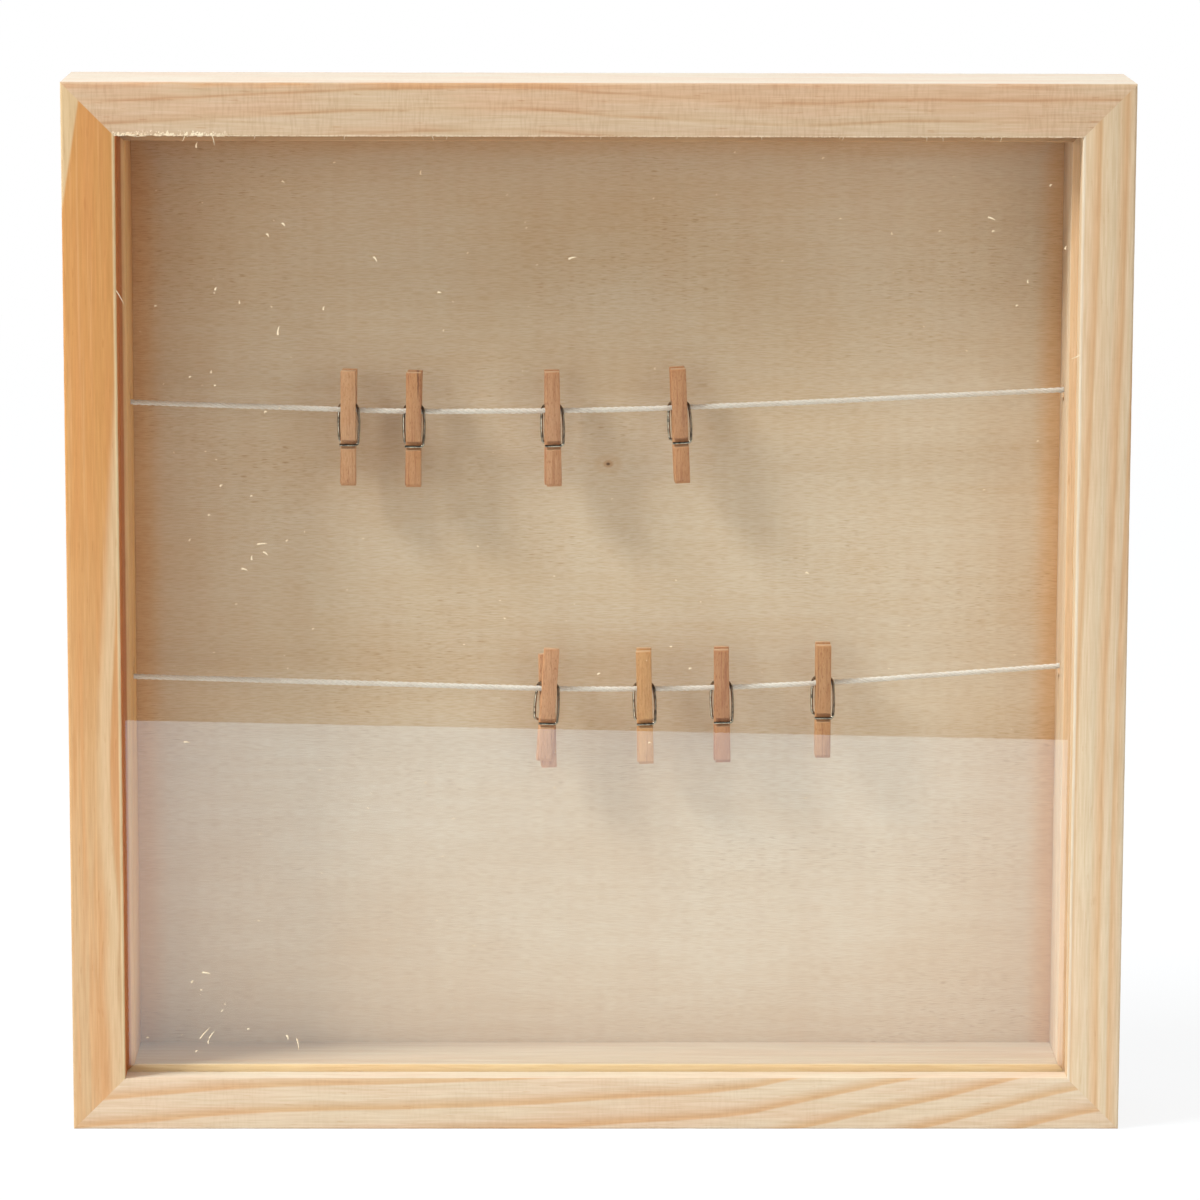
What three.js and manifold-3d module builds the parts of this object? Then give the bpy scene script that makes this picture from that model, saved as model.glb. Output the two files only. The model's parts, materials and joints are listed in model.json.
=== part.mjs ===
import * as THREE from 'three';
import { mergeVertices } from 'three/addons/utils/BufferGeometryUtils.js';
import Module from 'manifold-3d';

// Clothespin photo frame: a deep pine box frame with a clear pane, two strung cords and eight small
// clothespins. All lengths are millimetres. +X is right, -Y is the front, +Z is up.
// The origin is at the centre of the bottom of the box that holds the whole frame.

// Outer frame: four mitred rails of one L-shaped section
const frameWidth = 300;
const frameHeight = 300;
const frameDepth = 40;
const faceWidth = 15;
const lipThickness = 8;
const rebateWidth = 5;

// Pane, spacer slips and back panel, stacked from the lip to the back
const paneThickness = 2;
const slipThickness = 7;
const panelThickness = 4;
const panelRecess = 0.5;
const edgeClearance = 0.3;

// Cords, their holes through the side slips, and the knots in pockets behind the slips
const cordDiameter = 1.6;
const cordToPanel = 10;
const cordHoleRadius = 2.4;
const cordSeatGap = 0.3;
const knotRadius = 2.9;
const knotGap = 0.3;
const pocketClearance = 0.4;
const cordSides = 8;
const cordSteps = 62;
const knotSides = 10;
const knotRings = 6;

// Routes of the cords as [x, z] points, from the left slip's outer face to the right one's
const upperRoute = [
  [-140, 207.34], [-132, 207.06], [-114, 206.44], [-96, 205.86], [-84, 205.45], [-71.3, 205.0],
  [-60.7, 204.7], [-52.4, 204.56], [-45, 204.53], [-33.6, 204.6], [-22.1, 204.7], [-12.8, 204.8],
  [-2.2, 204.98], [6.4, 205.18], [15, 205.43], [23.7, 205.75], [40.7, 206.47], [57.8, 207.26],
  [75, 208.1], [92, 208.96], [109.2, 209.82], [126.4, 210.68], [133, 211.02], [140, 211.38],
];
const lowerRoute = [
  [-140, 127.79], [-132, 127.56], [-114, 127.04], [-96, 126.51], [-78, 125.98], [-60, 125.46], [-45, 125.02],
  [-30, 124.56], [-14.6, 124.16], [-6.3, 124.05], [3, 124.0], [13.9, 124.06], [26.9, 124.28], [35.8, 124.52],
  [44, 124.83], [54, 125.3], [65.2, 125.9], [76, 126.6], [88, 127.47], [100, 128.38], [116, 129.6],
  [133, 130.9], [140, 131.44],
];

// Clothespin: two legs round a coiled wire. Heights run up from the coil's centre.
const handleLength = 11.6;
const jawLength = 21.5;
const legWidth = 4.3;
const pegDepth = 7.5;
const legGap = 0.3;
const handleTaper = THREE.MathUtils.degToRad(7.5);
const handleChamfer = 0.5;
const tipChamfer = 1;
const lineNotchRadius = 1.1;
const lineNotchDrop = 6.2;
const legArcSteps = 5;

// Wire spring of a clothespin
const wireDiameter = 0.8;
const wireClearance = 0.3;
const coilRadius = 1.65;
const coilPitch = 1.24;
const coilTurns = 3.5;
const stepsPerTurn = 8;
const wireSides = 5;
const flareSteps = 2;
const barDrop = 9.7;
const barProud = 0.15;
const barTail = 0.3;
const bendLength = 1;
const bendCutShare = 0.3;
const armBulge = 0.2;
const armSteps = 4;
const notchHeadroom = 0.95;
const notchRun = 0.6;

// Where the clothespins hang: a share of the clear width from the left slip, then how each one is turned.
// Yaw is about +Z and lean about +Y, in degrees. The shifts are how much lower each leg sits on its groove.
const pegs = [
  { route: upperRoute, alongShare: 0.2331, yaw: -1, lean: 0.1, rearLean: 1.2, rearShift: 0, frontShift: 0 },
  { route: upperRoute, alongShare: 0.3031, yaw: -1, lean: 0.2, rearLean: 1.2, rearShift: 0, frontShift: 0 },
  { route: upperRoute, alongShare: 0.4514, yaw: 2.5, lean: -1.3, rearLean: 1.2, rearShift: 0, frontShift: 0 },
  { route: upperRoute, alongShare: 0.5874, yaw: 2.6, lean: -2.6, rearLean: 0, rearShift: 0, frontShift: 0 },
  { route: lowerRoute, alongShare: 0.4470, yaw: 7, lean: 3.7, rearLean: -5, rearShift: 1.8, frontShift: -0.7 },
  { route: lowerRoute, alongShare: 0.5513, yaw: 0, lean: -1.8, rearLean: 1.2, rearShift: 0, frontShift: 0 },
  { route: lowerRoute, alongShare: 0.6350, yaw: 0, lean: -1.3, rearLean: 1.2, rearShift: 0, frontShift: 0 },
  { route: lowerRoute, alongShare: 0.7447, yaw: 0.3, lean: 0, rearLean: 0, rearShift: 0, frontShift: 0 },
];

// Turn buttons and their screws, on the backs of the side rails
const buttonLength = 22;
const buttonWidth = 8;
const buttonThickness = 1.2;
const buttonHoleRadius = 1.5;
const buttonGap = 0.2;
const buttonHeightShares = [0.25, 0.75];
const screwHeadRadius = 2.6;
const screwHeadHeight = 1.3;
const screwShaftRadius = 1.2;
const screwLength = 14;
const screwTip = 3;

// Saw-tooth hanger with two nails, on the back of the top rail
const hangerLength = 45;
const hangerHeight = 7;
const hangerThickness = 0.8;
const hangerFlat = 8;
const hangerRamp = 3;
const hangerRise = 1.4;
const toothCount = 9;
const toothDepth = 1.6;
const nailHeadRadius = 1.7;
const nailHeadHeight = 0.6;
const nailShaftRadius = 0.6;
const nailLength = 9;
const nailTip = 2;

// Corner fasteners: an angle of thin steel across each mitre, flush with the back
const fastenerLeg = 5;
const fastenerThickness = 0.6;
const fastenerDepth = 12;
const fastenerCornerInset = 6.5;

// Clearance round anything driven into the wood, and the overrun of a cutting tool
const driveClearance = 0.3;
const overrun = 1;
const roundSides = 16;

// Worked-out sizes
const wallThickness = faceWidth - rebateWidth;
const hardwareDepth = buttonGap + buttonThickness + buttonGap + screwHeadHeight;
const frontY = -(frameDepth + hardwareDepth) / 2;
const backY = frontY + frameDepth;
const paneFrontY = frontY + lipThickness;
const slipFrontY = paneFrontY + paneThickness;
const panelBackY = backY - panelRecess;
const panelFrontY = panelBackY - panelThickness;
const cordY = panelFrontY - cordToPanel;
const cordRadius = cordDiameter / 2;
const wireRadius = wireDiameter / 2;
const halfWidth = frameWidth / 2;
const slipInnerX = halfWidth - wallThickness - slipThickness;
const slipOuterX = halfWidth - wallThickness;
const knotX = slipOuterX + knotGap + knotRadius;
const legOuter = pegDepth / 2;
const grooveRadius = coilRadius + wireRadius + wireClearance;
const barOut = legOuter + barProud - wireRadius;
const armOut = legWidth / 2 + wireClearance + wireRadius;

// Finishes
const pineLeft = { color: '#d59c64', roughness: 0.62, metalness: 0 };
const pineTop = { color: '#d4bc9b', roughness: 0.62, metalness: 0 };
const pineRight = { color: '#dac2a2', roughness: 0.62, metalness: 0 };
const pineBottom = { color: '#e5d1b2', roughness: 0.62, metalness: 0 };
const pineSlip = { color: '#d3ac7c', roughness: 0.68, metalness: 0 };
const plywood = { color: '#c2a47c', roughness: 0.7, metalness: 0 };
const clearPane = { color: '#eef2f2', roughness: 0.05, metalness: 0, transparent: true, opacity: 0.2 };
const cotton = { color: '#ece9e2', roughness: 0.95, metalness: 0 };
const beech = { color: '#c8986b', roughness: 0.6, metalness: 0 };
const springSteel = { color: '#8f8f8c', roughness: 0.3, metalness: 1 };
const zincSteel = { color: '#b9b8b2', roughness: 0.35, metalness: 1 };

const wasm = await Module();
wasm.setup();

const frame = new THREE.Group();

function addPiece(name, geometry, finish, parent = frame) {
  const mesh = new THREE.Mesh(geometry, new THREE.MeshStandardMaterial(finish));
  mesh.name = name;
  parent.add(mesh);
  return mesh;
}

function toSolid(geometry) {
  const plain = geometry.clone();
  plain.deleteAttribute('normal');
  plain.deleteAttribute('uv');
  const merged = mergeVertices(plain);
  const vertProperties = new Float32Array(merged.attributes.position.array);
  const triVerts = new Uint32Array(merged.index.array);
  return new wasm.Manifold(new wasm.Mesh({ numProp: 3, vertProperties, triVerts }));
}

function toGeometry(solid) {
  const mesh = solid.getMesh();
  const geometry = new THREE.BufferGeometry();
  geometry.setAttribute('position', new THREE.BufferAttribute(new Float32Array(mesh.vertProperties), 3));
  geometry.setIndex(new THREE.BufferAttribute(new Uint32Array(mesh.triVerts), 1));
  geometry.computeVertexNormals();
  return geometry;
}

function cutAway(geometry, tools) {
  let solid = toSolid(geometry);
  for (const tool of tools) {
    solid = solid.subtract(toSolid(tool));
  }
  return toGeometry(solid);
}

function signedVolume(points, triangles) {
  let volume = 0;
  for (const [a, b, c] of triangles) {
    volume += points[a].dot(new THREE.Vector3().crossVectors(points[b], points[c])) / 6;
  }
  return volume;
}

// A closed mesh from points and triangles, turned so that its faces point out
function closedMesh(points, triangles) {
  const outward = signedVolume(points, triangles) > 0;
  const faces = outward ? triangles : triangles.map(([a, b, c]) => [a, c, b]);
  const geometry = new THREE.BufferGeometry().setFromPoints(points);
  geometry.setIndex(faces.flat());
  geometry.computeVertexNormals();
  return geometry;
}

// Rings of points joined into one tube with flat ends
function skinRings(rings) {
  const sides = rings[0].length;
  const points = rings.flat();
  const triangles = [];
  for (let ring = 0; ring < rings.length - 1; ring += 1) {
    for (let side = 0; side < sides; side += 1) {
      const here = ring * sides + side;
      const next = ring * sides + ((side + 1) % sides);
      triangles.push([here, next, here + sides], [next, next + sides, here + sides]);
    }
  }
  const last = (rings.length - 1) * sides;
  return { points, triangles, last };
}

// A bar of one section between two corners of the frame, with mitred ends.
// A section point is [inset from the outer edge, y]. A corner is [side in x, side in z], each -1 or 1.
function mitredBar(section, startCorner, endCorner) {
  const place = ([sideX, sideZ]) => section.map(([inset, y]) => new THREE.Vector3(
    sideX * (halfWidth - inset),
    y,
    sideZ > 0 ? frameHeight - inset : inset,
  ));
  const skin = skinRings([place(startCorner), place(endCorner)]);
  const flat = section.map(([inset, y]) => new THREE.Vector2(inset, y));
  const caps = THREE.ShapeUtils.triangulateShape(flat, []);
  const counterClockwise = !THREE.ShapeUtils.isClockWise(flat);
  for (const [a, b, c] of caps) {
    const [p, q] = counterClockwise ? [b, c] : [c, b];
    skin.triangles.push([a, q, p], [a + skin.last, p + skin.last, q + skin.last]);
  }
  return closedMesh(skin.points, skin.triangles);
}

// A flat outline in x and z, given a thickness along y from its front face
function slabAlongY(shape, yFront, thickness) {
  const options = { depth: thickness, bevelEnabled: false, curveSegments: roundSides / 4 };
  const geometry = new THREE.ExtrudeGeometry(shape, options);
  geometry.rotateX(Math.PI / 2);
  geometry.translate(0, yFront + thickness, 0);
  return geometry;
}

function rodAlongX(radius, xStart, xEnd, y, z) {
  const length = Math.abs(xEnd - xStart);
  const rod = new THREE.CylinderGeometry(radius, radius, length, roundSides);
  rod.rotateZ(Math.PI / 2);
  rod.translate((xStart + xEnd) / 2, y, z);
  return rod;
}

function rodAlongY(radius, yStart, yEnd, x, z) {
  const rod = new THREE.CylinderGeometry(radius, radius, yEnd - yStart, roundSides);
  rod.translate(x, (yStart + yEnd) / 2, z);
  return rod;
}

// Height of a cord's route at a given x
function cordHeight(route, x) {
  const after = Math.max(1, route.findIndex(([px]) => px >= x));
  const [x0, z0] = route[after - 1];
  const [x1, z1] = route[after];
  return z0 + (z1 - z0) * (x - x0) / (x1 - x0);
}

// A screw or nail along y: its head stands behind yHead and its shaft runs forward into the wood
function drivenPin(headRadius, headHeight, shaftRadius, length, tip, yHead, x, z) {
  const profile = [
    new THREE.Vector2(0, -length),
    new THREE.Vector2(shaftRadius, tip - length),
    new THREE.Vector2(shaftRadius, 0),
    new THREE.Vector2(headRadius, 0),
    new THREE.Vector2(headRadius, headHeight / 2),
    new THREE.Vector2(headRadius / 2, headHeight),
    new THREE.Vector2(0, headHeight),
  ];
  const pin = new THREE.LatheGeometry(profile, roundSides);
  pin.translate(x, yHead, z);
  return pin;
}

// Places of the hardware on the back
const buttonPlaces = [];
for (const side of [-1, 1]) {
  for (const share of buttonHeightShares) {
    buttonPlaces.push({ side, x: side * (halfWidth - wallThickness / 2), z: frameHeight * share });
  }
}
const hangerZ = frameHeight - wallThickness / 2;
const nailX = (hangerLength - hangerFlat) / 2;
const cornerSides = [[-1, 1], [1, 1], [-1, -1], [1, -1]];
const cornerNames = ['top_left', 'top_right', 'bottom_left', 'bottom_right'];

// The angle outline of a corner fastener, grown on every side by a clearance
function fastenerOutline([sideX, sideZ], clearance) {
  const inner = fastenerCornerInset + clearance;
  const elbow = fastenerCornerInset - fastenerThickness - clearance;
  const reach = fastenerCornerInset - fastenerLeg - clearance;
  const corners = [
    [inner, inner], [reach, inner], [reach, elbow], [elbow, elbow], [elbow, reach], [inner, reach],
  ];
  return new THREE.Shape(corners.map(([insetX, insetZ]) => new THREE.Vector2(
    sideX * (halfWidth - insetX),
    sideZ > 0 ? frameHeight - insetZ : insetZ,
  )));
}

function fastenerSlots(corners) {
  return corners.map((corner) => {
    const depth = fastenerDepth + driveClearance + overrun;
    return slabAlongY(fastenerOutline(corner, driveClearance), backY + overrun - depth, depth);
  });
}

// Rails
const railSection = [
  [0, frontY],
  [faceWidth, frontY],
  [faceWidth, paneFrontY],
  [wallThickness, paneFrontY],
  [wallThickness, backY],
  [0, backY],
];

function buildTopRail() {
  const slots = fastenerSlots([cornerSides[0], cornerSides[1]]);
  const holes = [-nailX, nailX].map((x) => {
    const bottom = backY + hangerThickness - nailLength - driveClearance;
    return rodAlongY(nailShaftRadius + driveClearance, bottom, backY + overrun, x, hangerZ);
  });
  const bar = mitredBar(railSection, [-1, 1], [1, 1]);
  addPiece('top_rail', cutAway(bar, [...slots, ...holes]), pineTop);
}

function buildBottomRail() {
  const slots = fastenerSlots([cornerSides[2], cornerSides[3]]);
  addPiece('bottom_rail', cutAway(mitredBar(railSection, [-1, -1], [1, -1]), slots), pineBottom);
}

function knotPocket(side, route) {
  const x = side * (knotX + knotRadius + pocketClearance);
  const z = cordHeight(route, side * slipOuterX);
  return rodAlongX(knotRadius + pocketClearance, side * (slipOuterX - overrun), x, cordY, z);
}

function screwHole({ x, z }) {
  const head = backY + buttonGap + buttonThickness + buttonGap;
  const bottom = head - screwLength - driveClearance;
  return rodAlongY(screwShaftRadius + driveClearance, bottom, backY + overrun, x, z);
}

function buildStile(name, side, finish) {
  const tools = fastenerSlots([[side, 1], [side, -1]]);
  for (const route of [upperRoute, lowerRoute]) {
    tools.push(knotPocket(side, route));
  }
  for (const place of buttonPlaces.filter((button) => button.side === side)) {
    tools.push(screwHole(place));
  }
  addPiece(name, cutAway(mitredBar(railSection, [side, -1], [side, 1]), tools), finish);
}

// Pane and panel fill the rebate, less a clearance at each edge
function buildSheet(name, yFront, thickness, finish) {
  const width = frameWidth - (wallThickness + edgeClearance) * 2;
  const height = frameHeight - (wallThickness + edgeClearance) * 2;
  const sheet = new THREE.BoxGeometry(width, thickness, height);
  sheet.translate(0, yFront + thickness / 2, frameHeight / 2);
  addPiece(name, sheet, finish);
}

// Spacer slips stand between the pane and the panel. The cord bears on the low side of its hole on the left,
// and on the high side on the right.
const slipSection = [
  [wallThickness, slipFrontY],
  [wallThickness + slipThickness, slipFrontY],
  [wallThickness + slipThickness, panelFrontY],
  [wallThickness, panelFrontY],
];

function cordHole(side, route) {
  const rise = cordHoleRadius - cordRadius - cordSeatGap;
  const bearingX = side < 0 ? -slipInnerX : slipOuterX;
  const z = cordHeight(route, bearingX) - side * rise;
  const inner = side * (slipInnerX - overrun);
  return rodAlongX(cordHoleRadius, inner, side * (slipOuterX + overrun), cordY, z);
}

function buildSlips() {
  addPiece('spacer_top', mitredBar(slipSection, [-1, 1], [1, 1]), pineSlip);
  addPiece('spacer_bottom', mitredBar(slipSection, [-1, -1], [1, -1]), pineSlip);
  for (const [name, side] of [['spacer_left', -1], ['spacer_right', 1]]) {
    const holes = [upperRoute, lowerRoute].map((route) => cordHole(side, route));
    addPiece(name, cutAway(mitredBar(slipSection, [side, -1], [side, 1]), holes), pineSlip);
  }
}

// Cords and knots
function buildCord(name, route) {
  const section = new THREE.Shape();
  for (let side = 0; side < cordSides; side += 1) {
    const angle = (side + 0.5) / cordSides * Math.PI * 2;
    const x = cordRadius * Math.cos(angle);
    const y = cordRadius * Math.sin(angle);
    if (side === 0) section.moveTo(x, y);
    else section.lineTo(x, y);
  }
  section.closePath();
  const path = new THREE.CatmullRomCurve3(route.map(([x, z]) => new THREE.Vector3(x, cordY, z)));
  const options = { steps: cordSteps, bevelEnabled: false, extrudePath: path };
  addPiece(`${name}_cord`, new THREE.ExtrudeGeometry(section, options), cotton);
  console.log(`${name} cord is ${path.getLength().toFixed(1)} mm long between its knots`);
  for (const [sideName, side] of [['left', -1], ['right', 1]]) {
    const knot = new THREE.SphereGeometry(knotRadius, knotSides, knotRings);
    knot.translate(side * knotX, cordY, cordHeight(route, side * slipOuterX));
    addPiece(`${name}_knot_${sideName}`, knot, cotton);
  }
}

// One leg of a clothespin, in the rear leg's place: its outer face looks along +y
function legGeometry(shift) {
  const inner = legGap / 2;
  const handle = handleLength - shift;
  const jaw = jawLength + shift;
  const notchTop = wireRadius + notchHeadroom - barDrop;
  const notchFloor = barOut - wireRadius - wireClearance;
  const notchBottom = -barDrop - wireRadius - wireClearance;
  const notchAngle = Math.acos(inner / lineNotchRadius);
  const lowerAngle = Math.acos(inner / grooveRadius);
  const upperAngle = Math.acos(inner * Math.cos(handleTaper) / grooveRadius) - handleTaper;
  const outline = new THREE.Shape();
  outline.moveTo(inner, -jaw);
  outline.absarc(0, -lineNotchDrop, lineNotchRadius, -notchAngle, notchAngle);
  outline.absarc(0, 0, grooveRadius, -lowerAngle, upperAngle);
  outline.lineTo(inner + handle * Math.tan(handleTaper), handle);
  outline.lineTo(legOuter - handleChamfer, handle);
  outline.lineTo(legOuter, handle - handleChamfer);
  outline.lineTo(legOuter, notchTop);
  outline.lineTo(notchFloor, notchTop);
  outline.lineTo(notchFloor, notchBottom);
  outline.lineTo(legOuter, notchBottom - notchRun);
  outline.lineTo(legOuter, tipChamfer - jaw);
  outline.lineTo(legOuter - tipChamfer, -jaw);
  outline.closePath();
  const options = { depth: legWidth, bevelEnabled: false, curveSegments: legArcSteps };
  const leg = new THREE.ExtrudeGeometry(outline, options);
  leg.translate(0, 0, -legWidth / 2);
  const outward = new THREE.Vector3(0, 1, 0);
  const up = new THREE.Vector3(0, 0, 1);
  const across = new THREE.Vector3(1, 0, 0);
  leg.applyMatrix4(new THREE.Matrix4().makeBasis(outward, up, across));
  return leg;
}

// Centre line of the right half of a spring, from the middle of the coil to the end of the front crossbar.
// The last steps of the coil flare out past the side of the leg, and the arm bows out on its way down.
function springHalf() {
  const points = [];
  const halfSteps = coilTurns * stepsPerTurn / 2;
  for (let step = 0; step <= halfSteps; step += 1) {
    const turned = step / stepsPerTurn;
    const angle = Math.PI - (halfSteps - step) / stepsPerTurn * Math.PI * 2;
    const flare = Math.max(0, (step - halfSteps + flareSteps) / flareSteps);
    const x = THREE.MathUtils.lerp(coilPitch * turned, armOut, flare);
    points.push(new THREE.Vector3(x, coilRadius * Math.cos(angle), coilRadius * Math.sin(angle)));
  }
  for (let step = 1; step < armSteps; step += 1) {
    const down = step / armSteps;
    const x = armOut + armBulge * Math.sin(Math.PI * down);
    const y = -THREE.MathUtils.lerp(coilRadius, barOut, down);
    points.push(new THREE.Vector3(x, y, -(barDrop - bendLength) * down));
  }
  points.push(new THREE.Vector3(armOut, -barOut, bendLength - barDrop));
  const bendCut = bendLength * bendCutShare;
  points.push(new THREE.Vector3(armOut - bendCut, -barOut, bendCut - barDrop));
  points.push(new THREE.Vector3(armOut - bendLength, -barOut, -barDrop));
  points.push(new THREE.Vector3(-legWidth / 2 - barTail, -barOut, -barDrop));
  return points;
}

function springLine() {
  const right = springHalf();
  const left = right.slice(1).reverse().map((point) => new THREE.Vector3(-point.x, -point.y, point.z));
  return [...left, ...right];
}

// A wire of several sides along a line of points, its rings carried along without twist
function wireAlong(line, radius, sides) {
  const along = line.map((point, i) => {
    const before = line[Math.max(i - 1, 0)];
    const after = line[Math.min(i + 1, line.length - 1)];
    return new THREE.Vector3().subVectors(after, before).normalize();
  });
  const start = Math.abs(along[0].z) < Math.SQRT1_2 ? new THREE.Vector3(0, 0, 1) : new THREE.Vector3(1, 0, 0);
  let normal = start.clone().addScaledVector(along[0], -start.dot(along[0])).normalize();
  const rings = line.map((point, i) => {
    if (i > 0) {
      const turn = new THREE.Quaternion().setFromUnitVectors(along[i - 1], along[i]);
      normal = normal.clone().applyQuaternion(turn).normalize();
    }
    const binormal = new THREE.Vector3().crossVectors(along[i], normal);
    return Array.from({ length: sides }, (_, side) => {
      const angle = side / sides * Math.PI * 2;
      return point.clone()
        .addScaledVector(normal, radius * Math.cos(angle))
        .addScaledVector(binormal, radius * Math.sin(angle));
    });
  });
  const skin = skinRings(rings);
  for (let side = 1; side < sides - 1; side += 1) {
    skin.triangles.push([0, side + 1, side], [skin.last, skin.last + side, skin.last + side + 1]);
  }
  return closedMesh(skin.points, skin.triangles);
}

// Least gap of a wire to itself, on points of its line that lie more than half a turn apart along it
function leastSelfGap(line, diameter) {
  const reach = Math.PI * coilRadius;
  const travelled = [0];
  for (let i = 1; i < line.length; i += 1) {
    travelled.push(travelled[i - 1] + line[i].distanceTo(line[i - 1]));
  }
  let least = Infinity;
  for (let i = 0; i < line.length; i += 1) {
    for (let j = i + 1; j < line.length; j += 1) {
      if (travelled[j] - travelled[i] > reach) {
        least = Math.min(least, line[i].distanceTo(line[j]) - diameter);
      }
    }
  }
  return least;
}

function buildPeg(number, { route, alongShare, yaw, lean, rearLean, rearShift, frontShift }) {
  const x = THREE.MathUtils.lerp(-slipInnerX, slipInnerX, alongShare);
  const peg = new THREE.Group();
  peg.position.set(x, cordY, cordHeight(route, x));
  peg.rotation.set(0, THREE.MathUtils.degToRad(lean), THREE.MathUtils.degToRad(yaw), 'ZYX');
  const rear = addPiece(`peg_${number}_rear_leg`, legGeometry(rearShift), beech, peg);
  rear.rotation.y = THREE.MathUtils.degToRad(rearLean);
  const front = addPiece(`peg_${number}_front_leg`, legGeometry(frontShift), beech, peg);
  front.rotation.z = Math.PI;
  const line = springLine();
  addPiece(`peg_${number}_spring`, wireAlong(line, wireRadius, wireSides), springSteel, peg);
  frame.add(peg);
  if (number === 1) {
    console.log(`least gap of a spring to itself is ${leastSelfGap(line, wireDiameter).toFixed(3)} mm`);
  }
}

// A turn button stored along its rail, clear of the panel: it turns inward on its screw to hold the panel
function buildTurnButton(number, { x, z }) {
  const end = buttonWidth / 2;
  const straight = buttonLength - buttonWidth;
  const outline = new THREE.Shape();
  outline.absarc(0, 0, end, Math.PI, Math.PI * 2);
  outline.absarc(0, straight, end, 0, Math.PI);
  outline.closePath();
  const hole = new THREE.Path();
  hole.absarc(0, 0, buttonHoleRadius, 0, Math.PI * 2);
  outline.holes.push(hole);
  const button = slabAlongY(outline, backY + buttonGap, buttonThickness);
  button.translate(x, 0, z);
  addPiece(`turn_button_${number}`, button, zincSteel);
  const yHead = backY + buttonGap + buttonThickness + buttonGap;
  const sizes = [screwHeadRadius, screwHeadHeight, screwShaftRadius, screwLength, screwTip];
  addPiece(`turn_screw_${number}`, drivenPin(...sizes, yHead, x, z), zincSteel);
}

// A strip that lies flat at its two ends and stands off between them, with teeth along its lower edge
function buildHanger() {
  const half = hangerLength / 2;
  const rampStart = half - hangerFlat;
  const rampEnd = rampStart - hangerRamp;
  const rightSide = [[half, 0], [rampStart, 0], [rampEnd, hangerRise]];
  const leftSide = rightSide.map(([x, rise]) => [-x, rise]).reverse();
  const low = [...rightSide, ...leftSide];
  const high = low.map(([x, rise]) => [x, rise + hangerThickness]).reverse();
  const profile = new THREE.Shape([...low, ...high].map(([x, rise]) => new THREE.Vector2(x, backY + rise)));
  const strip = new THREE.ExtrudeGeometry(profile, { depth: hangerHeight, bevelEnabled: false });
  const edgeZ = hangerZ - hangerHeight / 2;
  strip.translate(0, 0, edgeZ);
  const tools = [-nailX, nailX].map((x) => {
    const yEnd = backY + hangerThickness + overrun;
    return rodAlongY(nailShaftRadius + driveClearance, backY - overrun, yEnd, x, hangerZ);
  });
  const toothedLength = rampEnd * 2;
  const pitch = toothedLength / toothCount;
  for (let tooth = 0; tooth < toothCount; tooth += 1) {
    const x = (tooth + 0.5) * pitch - rampEnd;
    const gullet = new THREE.Shape();
    gullet.moveTo(x - pitch / 2, edgeZ - overrun);
    gullet.lineTo(x + pitch / 2, edgeZ - overrun);
    gullet.lineTo(x, edgeZ + toothDepth);
    gullet.closePath();
    tools.push(slabAlongY(gullet, backY - overrun, hangerRise + hangerThickness + overrun * 2));
  }
  addPiece('hanger_plate', cutAway(strip, tools), zincSteel);
  for (const [sideName, x] of [['left', -nailX], ['right', nailX]]) {
    const sizes = [nailHeadRadius, nailHeadHeight, nailShaftRadius, nailLength, nailTip];
    addPiece(`hanger_nail_${sideName}`, drivenPin(...sizes, backY + hangerThickness, x, hangerZ), zincSteel);
  }
}

function buildCornerFasteners() {
  cornerSides.forEach((corner, i) => {
    const slab = slabAlongY(fastenerOutline(corner, 0), backY - fastenerDepth, fastenerDepth);
    addPiece(`corner_fastener_${cornerNames[i]}`, slab, zincSteel);
  });
}

buildTopRail();
buildBottomRail();
buildStile('left_stile', -1, pineLeft);
buildStile('right_stile', 1, pineRight);
buildSheet('pane', paneFrontY, paneThickness, clearPane);
buildSlips();
buildSheet('back_panel', panelFrontY, panelThickness, plywood);
buildCord('upper', upperRoute);
buildCord('lower', lowerRoute);
pegs.forEach((peg, i) => buildPeg(i + 1, peg));
buttonPlaces.forEach((place, i) => buildTurnButton(i + 1, place));
buildHanger();
buildCornerFasteners();

export default frame;
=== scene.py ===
import json
import math
import random

import bmesh
import bpy
from mathutils import Matrix, Vector, noise


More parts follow.
